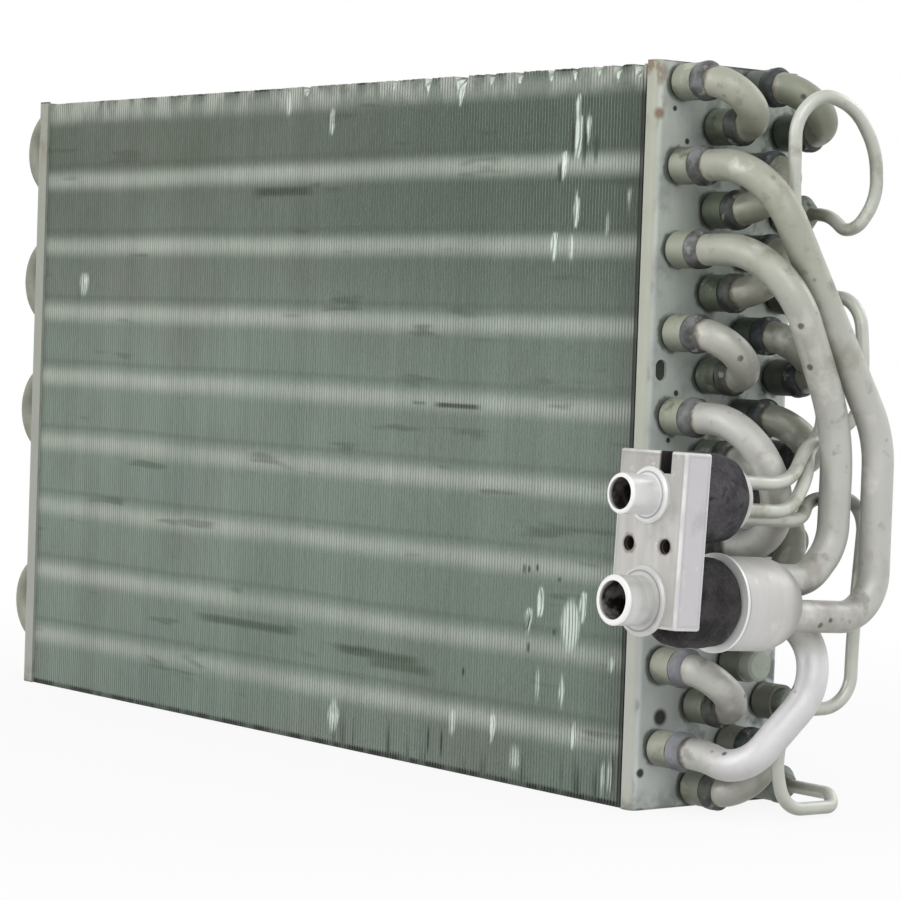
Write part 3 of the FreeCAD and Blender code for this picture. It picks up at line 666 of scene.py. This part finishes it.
pipe_finish = bent_tube_finish()
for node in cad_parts:
    if node.startswith(("return_bend", "suction_pipe")):
        paint(node, pipe_finish)


# Joint collars
# Each bend is held in its bell by a dark collar of sealant that has run and set unevenly. One
# ring is laid on every joint, and roughened by where it lies.
HIGHEST_TUBE_Z = 218.75 * MM
COLLAR_LENGTH = 5.2 * MM
COLLAR_RADIUS = 5.95 * MM
COLLAR_SIDES = 44
COLLAR_STEPS = 12
JOINED_ENDS = (
    "a1 b1 a4 b4 a8 b8 b2 c2 b3 c3 b9 c9 c1 d1 c4 d4 c5 d5 a5 b6 a6 b5 a7 b7 c6 c7 a2 a3 a9"
)


def tube_axis(end):
    """Y and Z of the tube that a letter and a number name, such as a1, counted from the top."""
    row = "abcd".index(end[0])
    steps = int(end[1]) - 1 + (row % 2) / 2
    return FIRST_ROW_Y + row * ROW_PITCH, HIGHEST_TUBE_Z - steps * TUBE_PITCH


FRONT_COLLAR = ((60, 62, 60), (126, 128, 128))
FOOT_COLLAR = (162, 164, 172)
SECOND_COLLAR_SHADED = ((42, 44, 42), (94, 98, 92))
BACK_COLLAR_SHADED = ((32, 34, 36), (72, 78, 80))
COLLAR_UNDERSIDE_SHADE = (34, 34, 34)
COLLAR_DUST = (168, 170, 162)
COLLAR_RUST = (120, 82, 56)


def collar_finish():
    finish, shader, place = new_finish("joint_collar")
    _, y, z = axes(place)
    mottled = spread(clouds(place, 190, 5), 0.35, 0.66)
    front = between(mottled, *FRONT_COLLAR)
    front = between(spread_mm(z, 50, 70, 0.6, 0.0), front, FOOT_COLLAR)
    second = between(mottled, *SECOND_COLLAR_SHADED)
    back = between(mottled, *BACK_COLLAR_SHADED)
    # The back rows are darker with painted shade, deeper in the coil
    surface = by_row(y, front, second, back, back)
    # Painted shade on the undersides
    surface = between(underneath(place, 0.75), surface, COLLAR_UNDERSIDE_SHADE)
    surface = stained(place, surface, COLLAR_DUST, 240, 0.58, 0.7, 0.6)
    surface = stained(place, surface, COLLAR_RUST, 210, 0.66, 0.74, 0.6)
    rough = spread(clouds(place, 260, 3), 0.3, 0.7, 0.4, 0.7)
    coat(shader, surface, rough)
    bump(shader, clouds(place, 700, 5), 0.25 * MM)
    return finish


def collar_tree(material):
    """Rings round the X axis, one at each point of the start mesh, with lumps that never repeat."""
    tree, given = tree_with_inputs("joint_collars", (
        ("Places", "Geometry"), ("Length", "Float"), ("Radius", "Float"), ("Lumps", "Float"),
        ("Seed", "Float"),
    ))
    ring = result(
        tree, "GeometryNodeMeshCylinder", Vertices=COLLAR_SIDES, Side_Segments=COLLAR_STEPS,
        Radius=1.0, Depth=1.0, settings={"fill_type": "NGON"},
    )
    aside, above, along = axes(result(tree, "GeometryNodeInputPosition"))
    to_end = work_out("ABSOLUTE", times(along, 2.0))
    swell = work_out("SUBTRACT", 1.0, work_out("POWER", to_end, 3.2))
    girth = times(spread(swell, 0.0, 1.0, 0.8, 1.0), given["Radius"])
    laid = point(times(along, given["Length"]), times(aside, girth), times(above, girth))
    ring = result(tree, "GeometryNodeSetPosition", ring, Position=laid)
    rings = result(tree, "GeometryNodeInstanceOnPoints", given["Places"], Instance=ring)
    rings = result(tree, "GeometryNodeRealizeInstances", rings)
    place = result(tree, "GeometryNodeInputPosition")
    normal = result(tree, "GeometryNodeInputNormal")
    lump = result(
        tree, "ShaderNodeTexNoise", Vector=place, W=given["Seed"], Scale=190.0, Detail=3.0,
        settings={"noise_dimensions": "4D"},
    )
    push = times(work_out("SUBTRACT", lump, 0.48), given["Lumps"])
    offset = result(
        tree, "ShaderNodeVectorMath", normal, settings={"operation": "SCALE"}, Scale=push,
    )
    rings = result(tree, "GeometryNodeSetPosition", rings, Offset=offset)
    close_tree(tree, rings, material, True)
    return tree


joint_points = bpy.data.meshes.new("joint_points")
joint_x = (BELL_END_X + RING_END_X) / 2
joint_points.from_pydata([(joint_x, *tube_axis(end)) for end in JOINED_ENDS.split()], [], [])
collars = made_piece("joint_collars", collar_tree(collar_finish()), {
    "Length": COLLAR_LENGTH, "Radius": COLLAR_RADIUS, "Lumps": 1.5 * MM, "Seed": 5.0,
}, joint_points)
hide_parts("joint_rings")
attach(collars, "root")


# Capillary sockets and plugs
# Caps on the back row: three narrow down to take a feed tube, four shut ends that aren't used.
# Slate grey and dusty, dark where they meet the bells, and one of the plugs is paler.
PALE_PLUG = (195.0 * MM, 8.5 * MM, 43.75 * MM)
SLATE = ((82, 90, 88), (126, 134, 124))
CAP_END = (156, 162, 150)
PALE_SLATE = (196, 204, 190)
CAP_STAIN = (40, 42, 42)


def cap_finish():
    finish, shader, place = new_finish("slate_cap")
    x, _, _ = axes(place)
    mottled = spread(clouds(place, 120, 4), 0.35, 0.65)
    surface = between(mottled, *SLATE)
    surface = between(spread_mm(x, 189.5, 192.5, 0.0, 0.5), surface, CAP_END)
    on_plug = spread_mm(from_point(place, PALE_PLUG), 6, 12, 0.7, 0.0)
    surface = between(on_plug, surface, PALE_SLATE)
    surface = stained(place, surface, CAP_STAIN, 200, 0.56, 0.68, 0.8)
    rough = spread(clouds(place, 200, 3), 0.3, 0.7, 0.4, 0.7)
    coat(shader, surface, rough)
    bump(shader, clouds(place, 500, 4), 0.2 * MM)
    return finish


slate_caps = cap_finish()
paint("capillary_sockets", slate_caps)
paint("end_plugs", slate_caps)


# Capillaries
# Thin drawn tubes that feed the back row, bent by hand in loose loops. Satin with a warm tint,
# brown where they enter their sockets.
CROSSING_Z = 96.4 * MM
FEED_TUBE = ((184, 188, 175), (218, 220, 212))
FEED_STAIN = (132, 124, 106)
FEED_UNDERSIDE_SHADE = (96, 96, 80)
FEED_CROSSING_SHADOW = (62, 64, 58)
SOCKET_BROWN = (104, 92, 78)


def feed_tube_finish():
    finish, shader, place = new_finish("feed_tube")
    x, y, z = axes(place)
    surface = between(clouds(place, 70, 4), *FEED_TUBE)
    surface = stained(place, surface, FEED_STAIN, 90, 0.56, 0.7, 0.5)
    # Painted shade on the undersides
    surface = between(underneath(place, 0.5), surface, FEED_UNDERSIDE_SHADE)
    # Painted shadow darkens the lowest one where it crosses behind the pipes
    crossing = spread_mm(how_far(z, CROSSING_Z), 2.6, 5, 0.75, 0.0)
    crossing = times(crossing, spread_mm(y, -6, 2))
    surface = between(crossing, surface, FEED_CROSSING_SHADOW)
    near_socket = spread_mm(x, 193, 203, 0.7, 0.0)
    surface = between(near_socket, surface, SOCKET_BROWN)
    rough = spread(clouds(place, 200, 3), 0.3, 0.7, 0.32, 0.5)
    coat(shader, surface, rough, 0.35)
    bump(shader, clouds(place, 300, 3), 0.08 * MM)
    return finish


feed_finish = feed_tube_finish()
for node in ("capillary_upper", "capillary_middle", "capillary_lower"):
    paint(node, feed_finish)


# Connection block
# A milled block of aluminium that clamps both port tubes. Its faces show the cutter's fine marks,
# its right side carries painted light, its edges are broken with a painted highlight, its notch has
# painted shade, and its two screw holes are threaded and stained brown, with painted shade inside.
BRANCH_PIVOT = (225.0 * MM, -59.2 * MM, 82.95 * MM)
BRANCH_LEAN = math.radians(-2.8)
BLOCK_HALF = (13.8 * MM, 4.9 * MM, 24.75 * MM)
BLOCK_MIDDLE = (0.0, -4.9 * MM, 2.7 * MM)
SCREW_HOLES = ((-7.5 * MM, 0.85 * MM), (7.5 * MM, 0.85 * MM))
SCREW_HOLE_RADIUS = 2.1 * MM
THREAD_PITCH = 0.8 * MM
THREAD_START_Y = -9.3 * MM
THREAD_LENGTH = 8.8 * MM
NOTCH_X = 5.3 * MM
NOTCH_HALF_WIDTH = 2.5 * MM
NOTCH_FLOOR_Z = 21.15 * MM
NOTCH_BACK_Y = -5.8 * MM


def branch_place(place):
    """Coordinates from the leaning branch's pivot, along the block's own axes."""
    return axes(result(
        place.id_data, "ShaderNodeMapping", Vector=place, Location=BRANCH_PIVOT,
        Rotation=(BRANCH_LEAN, 0, 0), settings={"vector_type": "TEXTURE"},
    ))


def from_axis(across, up, axis_x, axis_z):
    """How far a point of the branch lies from a line along Y."""
    side = work_out("POWER", how_far(across, axis_x), 2.0)
    rise = work_out("POWER", how_far(up, axis_z), 2.0)
    return work_out("SQRT", work_out("ADD", side, rise))


MILLED_FACE = ((190, 188, 183), (204, 203, 199))
BLOCK_TOP = (176, 174, 169)
BLOCK_SIDE_LIGHT = (205, 203, 206)
BLOCK_STAIN = (168, 166, 162)
BLOCK_CHALK = (224, 223, 219)
EDGE_SHADE = (112, 108, 112)
EDGE_HIGHLIGHT = (238, 237, 236)
HOLE_BROWN = (108, 84, 74)
HOLE_SHADE = (34, 24, 20)
NOTCH_SHADE = (34, 30, 32)


def block_finish():
    finish, shader, place = new_finish("milled_block")
    across, deep, up = branch_place(place)
    milled = clouds(place, 60, 4, (5, 1, 1))
    surface = between(spread(milled, 0.3, 0.7), *MILLED_FACE)
    surface = between(spread_mm(up, 5, 22, 0.0, 0.7), surface, BLOCK_TOP)
    # Painted light on the right side face
    lit_side = spread_mm(across, 13.3, 13.75)
    surface = between(lit_side, surface, BLOCK_SIDE_LIGHT)
    surface = stained(place, surface, BLOCK_STAIN, 80, 0.54, 0.7, 0.5)
    surface = stained(place, surface, BLOCK_CHALK, 260, 0.6, 0.72, 0.5)
    outside = []
    for value, middle, half in zip((across, deep, up), BLOCK_MIDDLE, BLOCK_HALF):
        outside.append(work_out("SUBTRACT", how_far(value, middle), half))
    # The second largest of the three is near zero only along an edge of the block
    ab, bc, ac = (
        work_out("MAXIMUM", outside[one], outside[two]) for one, two in ((0, 1), (1, 2), (0, 2))
    )
    near_edge = work_out("MINIMUM", work_out("MINIMUM", ab, bc), ac)
    behind_edge = spread_mm(how_far(near_edge, -1.25 * MM), 0.1, 0.5, 0.12, 0.0)
    surface = between(behind_edge, surface, EDGE_SHADE)
    # Painted highlight along the block's edges, broken up by noise
    painted_edge_highlight = spread_mm(near_edge, -0.95, -0.5)
    painted_edge_highlight = times(painted_edge_highlight, spread(clouds(place, 110, 3), 0.35, 0.6, 0.25, 0.8))
    surface = between(painted_edge_highlight, surface, EDGE_HIGHLIGHT)
    for hole_x, hole_z in SCREW_HOLES:
        away = from_axis(across, up, hole_x, hole_z)
        ragged = work_out("MULTIPLY_ADD", clouds(place, 360, 3), -2.6 * MM, away)
        brown = spread_mm(ragged, 0.9, 1.9, 0.6, 0.0)
        surface = between(brown, surface, HOLE_BROWN)
        # Painted shade inside the screw hole
        inside = spread(
            away, SCREW_HOLE_RADIUS - 0.1 * MM, SCREW_HOLE_RADIUS + 0.25 * MM, 0.94, 0.0,
        )
        surface = between(inside, surface, HOLE_SHADE)
    # Painted shade in the notch
    in_notch = times(
        spread(
            how_far(across, NOTCH_X), NOTCH_HALF_WIDTH, NOTCH_HALF_WIDTH + 0.15 * MM, 0.93, 0.0,
        ),
        spread(up, NOTCH_FLOOR_Z - 0.2 * MM, NOTCH_FLOOR_Z), spread_mm(deep, -9.6, -9.1),
        spread(deep, NOTCH_BACK_Y + 0.05 * MM, NOTCH_BACK_Y + 0.2 * MM, 1.0, 0.0),
    )
    surface = between(in_notch, surface, NOTCH_SHADE)
    rough = spread(clouds(place, 140, 3), 0.3, 0.7, 0.36, 0.52)
    coat(shader, surface, rough, 0.35)
    bump(shader, clouds(place, 800, 3, (0.3, 1, 1)), 0.05 * MM)
    return finish


def thread_tree(material):
    """A ridge that winds down each hole, laid at the points of the start mesh."""
    tree, given = tree_with_inputs("screw_threads", (
        ("Places", "Geometry"), ("Radius", "Float"), ("Pitch", "Float"), ("Length", "Float"),
        ("Lean", "Float"),
    ))
    turns = work_out("DIVIDE", given["Length"], given["Pitch"])
    ridge = result(
        tree, "GeometryNodeCurveSpiral", Resolution=20, Rotations=turns,
        Start_Radius=given["Radius"], End_Radius=given["Radius"], Height=given["Length"],
    )
    section = result(
        tree, "GeometryNodeCurvePrimitiveCircle", Resolution=3,
        Radius=times(given["Pitch"], 0.42),
    )
    ridge = result(tree, "GeometryNodeCurveToMesh", ridge, section, Fill_Caps=True)
    turn = point(work_out("SUBTRACT", given["Lean"], math.pi / 2), 0.0, 0.0)
    ridge = result(tree, "GeometryNodeTransform", ridge, Rotation=turn)
    ridges = result(tree, "GeometryNodeInstanceOnPoints", given["Places"], Instance=ridge)
    close_tree(tree, ridges, material, False)
    return tree


def on_branch(x, y, z):
    """A point of the branch, given along the block's own axes."""
    return Matrix.Rotation(BRANCH_LEAN, 3, "X") @ Vector((x, y, z)) + Vector(BRANCH_PIVOT)


milled = block_finish()
paint("connection_block", milled)
thread_points = bpy.data.meshes.new("thread_points")
thread_points.from_pydata([on_branch(x, THREAD_START_Y, z) for x, z in SCREW_HOLES], [], [])
threads = made_piece("screw_threads", thread_tree(milled), {
    "Radius": SCREW_HOLE_RADIUS + 0.05 * MM, "Pitch": THREAD_PITCH, "Length": THREAD_LENGTH,
    "Lean": BRANCH_LEAN,
}, thread_points)
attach(threads, "root")


# Port tubes
# Turned aluminium stubs, each with a bead that seats on the block, which clamps it. Their rims are
# bright, their walls satin, and their bores dark with painted shade.
TURNED_WALL = ((200, 200, 198), (216, 216, 214))
STUB_STAIN = (170, 166, 158)
UPPER_STUB = (242, 243, 242)
GROOVE_SHADE = (96, 94, 96)
BRIGHT_RIM = (246, 246, 244)
# Each port: its axis in Z from the pivot, the bore's radius, where the mouth lies, the bead's
# radius, and the bore's painted shade colour and worn colour
PORTS = (
    (14.85 * MM, 4.55 * MM, -21.2 * MM, 8.0 * MM, (56, 52, 50), (120, 116, 112)),
    (-14.85 * MM, 5.5 * MM, -21.1 * MM, 10.0 * MM, (44, 42, 42), (170, 166, 162)),
)


def stub_finish():
    finish, shader, place = new_finish("turned_stub")
    across, deep, up = branch_place(place)
    turned = clouds(place, 90, 3, (0.5, 4, 0.5))
    surface = between(spread(turned, 0.3, 0.7), *TURNED_WALL)
    surface = stained(place, surface, STUB_STAIN, 90, 0.55, 0.72, 0.5)
    surface = between(spread_mm(up, -2, 4, 0.0, 0.75), surface, UPPER_STUB)
    for axis_z, bore, mouth, bead, dark, worn in PORTS:
        away = from_axis(across, up, 0.0, axis_z)
        here = spread_mm(away, 11, 12, 1.0, 0.0)
        groove = spread_mm(how_far(away, bead - 1.5 * MM), 0.1, 0.45, 0.55, 0.0)
        groove = times(groove, here, spread_mm(deep, -12, -11.3))
        surface = between(groove, surface, GROOVE_SHADE)
        rim = spread(deep, mouth + 0.5 * MM, mouth + 1.1 * MM, 1.0, 0.0)
        surface = between(times(rim, here), surface, BRIGHT_RIM)
        # Painted shade inside the bore, deepening away from the mouth and mottled with the worn
        # colour
        inside = spread(away, bore, bore + 0.08 * MM, 1.0, 0.0)
        deeper = spread(deep, mouth + 0.2 * MM, mouth + 1.4 * MM)
        mottled = spread(clouds(place, 260, 3), 0.4, 0.66)
        wall = between(mottled, dark, worn)
        surface = between(times(inside, deeper), surface, wall)
    rough = spread(clouds(place, 150, 3), 0.3, 0.7, 0.32, 0.46)
    coat(shader, surface, rough, 0.35)
    bump(shader, turned, 0.04 * MM)
    return finish


stubs = stub_finish()
paint("port_tube_liquid", stubs)
paint("port_tube_suction", stubs)


# Foam discs
# Soft charcoal foam, squeezed between the block and the pieces behind it. Its skin is open celled
# and sags out of round a little.
FOAM_BORE = 0.58
FOAM_EDGE = 0.86
RIM_STEPS = 14
FOAM_SIDES = 96
FOAM_WAVES = 7
UPPER_FOAM = ((58, 56, 60), (88, 86, 88))
LOWER_FOAM = ((46, 44, 46), (72, 70, 70))
FOAM_DUST = (118, 114, 114)
FOAM_PITS = (22, 20, 24)


def foam_finish():
    finish, shader, place = new_finish("charcoal_foam")
    _, _, z = axes(place)
    mottled = spread(clouds(place, 150, 5), 0.35, 0.65)
    upper = between(mottled, *UPPER_FOAM)
    lower = between(mottled, *LOWER_FOAM)
    surface = between(spread_mm(z, 80, 86), lower, upper)
    surface = stained(place, surface, FOAM_DUST, 380, 0.6, 0.74, 0.5)
    surface = stained(place, surface, FOAM_PITS, 300, 0.58, 0.72, 0.7)
    finish.node_tree.links.new(surface, shader.inputs["Base Color"])
    shader.inputs["Roughness"].default_value = 0.92
    shader.inputs["Specular IOR Level"].default_value = 0.25
    pits = work_out("ADD", spots(place, 900), clouds(place, 260, 4))
    bump(shader, pits, 0.5 * MM)
    return finish


def foam_disc(node, seed):
    """A closed ring of foam in the node's place, with a worn edge and a swollen rim."""
    low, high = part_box(node)
    centre = (low + high) / 2
    lean = Matrix.Rotation(BRANCH_LEAN, 4, "X")
    outer = (high.x - low.x) / 2
    half = (high.y - low.y) / 2 - outer * math.sin(-BRANCH_LEAN)
    profile = [(-half, outer * FOAM_BORE)]
    for step in range(RIM_STEPS + 1):
        turn = math.pi * step / RIM_STEPS
        swollen = FOAM_EDGE + (1 - FOAM_EDGE) * math.sin(turn) ** 0.6
        profile.append((-math.cos(turn) * half, outer * swollen))
    profile.append((half, outer * FOAM_BORE))
    mesh = bmesh.new()
    rings = []
    draw = random.Random(seed)
    waves = []
    for order in range(FOAM_WAVES):
        waves.append((order + 2, draw.uniform(0.05, 0.2) * MM, draw.uniform(0, math.tau)))
    for side in range(FOAM_SIDES):
        angle = math.tau * side / FOAM_SIDES
        bulge = sum(size * math.sin(count * angle + phase) for count, size, phase in waves) / 2
        ring = []
        for along, radius in profile:
            sway = bulge - 0.2 * MM + 0.12 * MM * math.sin(5 * angle + along / MM)
            full = radius + sway * (radius / outer) ** 3
            spot = Vector((math.cos(angle) * full, along, math.sin(angle) * full))
            ring.append(mesh.verts.new(lean @ spot + centre))
        rings.append(ring)
    for side in range(FOAM_SIDES):
        here, there = rings[side], rings[(side + 1) % FOAM_SIDES]
        for step in range(len(profile)):
            after = (step + 1) % len(profile)
            mesh.faces.new((here[step], here[after], there[after], there[step]))
    bmesh.ops.recalc_face_normals(mesh, faces=mesh.faces)
    data = bpy.data.meshes.new(node + "_foam")
    mesh.to_mesh(data)
    mesh.free()
    for face in data.polygons:
        face.use_smooth = True
    piece = bpy.data.objects.new(node + "_foam", data)
    bpy.context.scene.collection.objects.link(piece)
    return piece


foam = foam_finish()
for node, seed in (("foam_disc_upper", 4), ("foam_disc_lower", 9)):
    disc = foam_disc(node, seed)
    disc.data.materials.append(foam)
    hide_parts(node)
    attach(disc, "root")


# Collector and distributor
# A spun aluminium can with a rolled lip and a domed end that gathers the three pipes, and a small
# turned body that feeds the capillaries. Light and dusty, with faint rings from spinning.
LIP_START = 17.3 * MM
DOME_START = 33.9 * MM
SPUN_WALL = ((198, 197, 194), (210, 209, 207))
CAN_STAIN = (178, 178, 174)
CAN_CHALK = (228, 228, 226)
DOME = (152, 151, 147)
LIP = (244, 244, 242)
STEP_SHADE = (116, 114, 116)


def can_finish():
    finish, shader, place = new_finish("spun_can")
    _, deep, _ = branch_place(place)
    rings = clouds(place, 60, 3, (0.4, 3, 0.4))
    surface = between(spread(rings, 0.25, 0.75), *SPUN_WALL)
    surface = stained(place, surface, CAN_STAIN, 60, 0.5, 0.7, 0.6)
    surface = stained(place, surface, CAN_CHALK, 140, 0.6, 0.74, 0.5)
    # Painted shade on the domed end
    on_dome = spread(deep, DOME_START - 1 * MM, DOME_START + 6 * MM, 0.0, 0.8)
    surface = between(on_dome, surface, DOME)
    on_lip = spread_mm(how_far(deep, LIP_START + 0.45 * MM), 0.4, 0.7, 1.0, 0.0)
    surface = between(on_lip, surface, LIP)
    step = spread_mm(how_far(deep, LIP_START + 1.5 * MM), 0.2, 0.7, 0.5, 0.0)
    surface = between(step, surface, STEP_SHADE)
    rough = spread(clouds(place, 120, 3), 0.3, 0.7, 0.4, 0.56)
    coat(shader, surface, rough, 0.3)
    bump(shader, rings, 0.05 * MM)
    return finish


spun = can_finish()
paint("suction_collector", spun)
paint("distributor", spun)


# Floor, light and camera
# A pale floor that fades into white, three soft lamps at the right, in front and behind, and the
# camera where the photo was taken from.
WHITE = (1.0, 1.0, 1.0, 1.0)
FLOOR_HALF = 4.0
ROOM_LIGHT = 0.66


def white_to_the_eye(tree):
    """1 for the rays of the camera, of reflections and of clear materials, else 0."""
    seen = put(tree, "ShaderNodeLightPath").outputs
    looked_at = work_out("MAXIMUM", seen["Is Camera Ray"], seen["Is Glossy Ray"])
    return work_out("MAXIMUM", looked_at, seen["Is Transmission Ray"])


def white_stage():
    """White to the camera and in reflections, with the object's shadow left on it."""
    finish, shader, place = new_finish("white_floor")
    tree = finish.node_tree
    shader.inputs["Base Color"].default_value = (0.86, 0.86, 0.86, 1.0)
    shader.inputs["Roughness"].default_value = 0.9
    away = put(tree, "ShaderNodeVectorMath", place, settings={"operation": "LENGTH"})
    fade = spread(away.outputs["Value"], 0.1, 0.6, 0.88, 1.0)
    fade = times(fade, white_to_the_eye(tree))
    white = result(tree, "ShaderNodeEmission", WHITE, 1.0)
    mixed = result(tree, "ShaderNodeMixShader", fade, shader.outputs[0], white)
    tree.links.new(mixed, tree.nodes["Material Output"].inputs["Surface"])
    return finish


floor_mesh = bpy.data.meshes.new("floor")
corners = [(x * FLOOR_HALF, y * FLOOR_HALF, 0) for x, y in ((-1, -1), (1, -1), (1, 1), (-1, 1))]
floor_mesh.from_pydata(corners, [], [(0, 1, 2, 3)])
floor_mesh.materials.append(white_stage())
floor = bpy.data.objects.new("floor", floor_mesh)
bpy.context.scene.collection.objects.link(floor)

world = bpy.data.worlds.new("studio")
bpy.context.scene.world = world
world.use_nodes = True
sky = world.node_tree
strength = work_out("MULTIPLY_ADD", white_to_the_eye(sky), 1.0 - ROOM_LIGHT, ROOM_LIGHT)
sky.links.new(strength, sky.nodes["Background"].inputs["Strength"])
sky.nodes["Background"].inputs["Color"].default_value = WHITE


def soft_lamp(name, spot, aim, width, watts):
    lamp = bpy.data.lights.new(name, "AREA")
    lamp.shape = "DISK"
    lamp.size = width
    lamp.energy = watts
    holder = bpy.data.objects.new(name, lamp)
    holder.location = spot
    holder.rotation_mode = "QUATERNION"
    holder.rotation_quaternion = (Vector(aim) - Vector(spot)).to_track_quat("-Z", "Y")
    bpy.context.scene.collection.objects.link(holder)


soft_lamp("key_lamp", (1.2, -0.7, 1.0), (0.1, 0, 0.1), 1.2, 5.0)
soft_lamp("front_lamp", (-0.3, -1.6, 0.8), (0, 0, 0.1), 1.2, 6.0)
soft_lamp("back_lamp", (0.4, 1.3, 1.0), (0, 0, 0.1), 0.9, 4.0)

CAMERA_SPOT = (0.8649, -0.6478, 0.1421)
CAMERA_AZIMUTH = math.radians(51.58)
CAMERA_DIP = math.radians(2.21)
CAMERA_ROLL = math.radians(1.98)
SENSOR_WIDTH = 36.0
LENS = 123.5

camera_data = bpy.data.cameras.new("camera")
camera_data.sensor_width = SENSOR_WIDTH
camera_data.lens = LENS
camera_data.clip_start = 0.05
camera_data.clip_end = 20.0
camera = bpy.data.objects.new("camera", camera_data)
aim = Matrix.Rotation(CAMERA_AZIMUTH, 4, "Z") @ Matrix.Rotation(math.pi / 2 - CAMERA_DIP, 4, "X")
camera.matrix_world = Matrix.Translation(CAMERA_SPOT) @ aim @ Matrix.Rotation(CAMERA_ROLL, 4, "Z")
bpy.context.scene.collection.objects.link(camera)
bpy.context.scene.camera = camera
bpy.context.scene.view_settings.view_transform = "Standard"
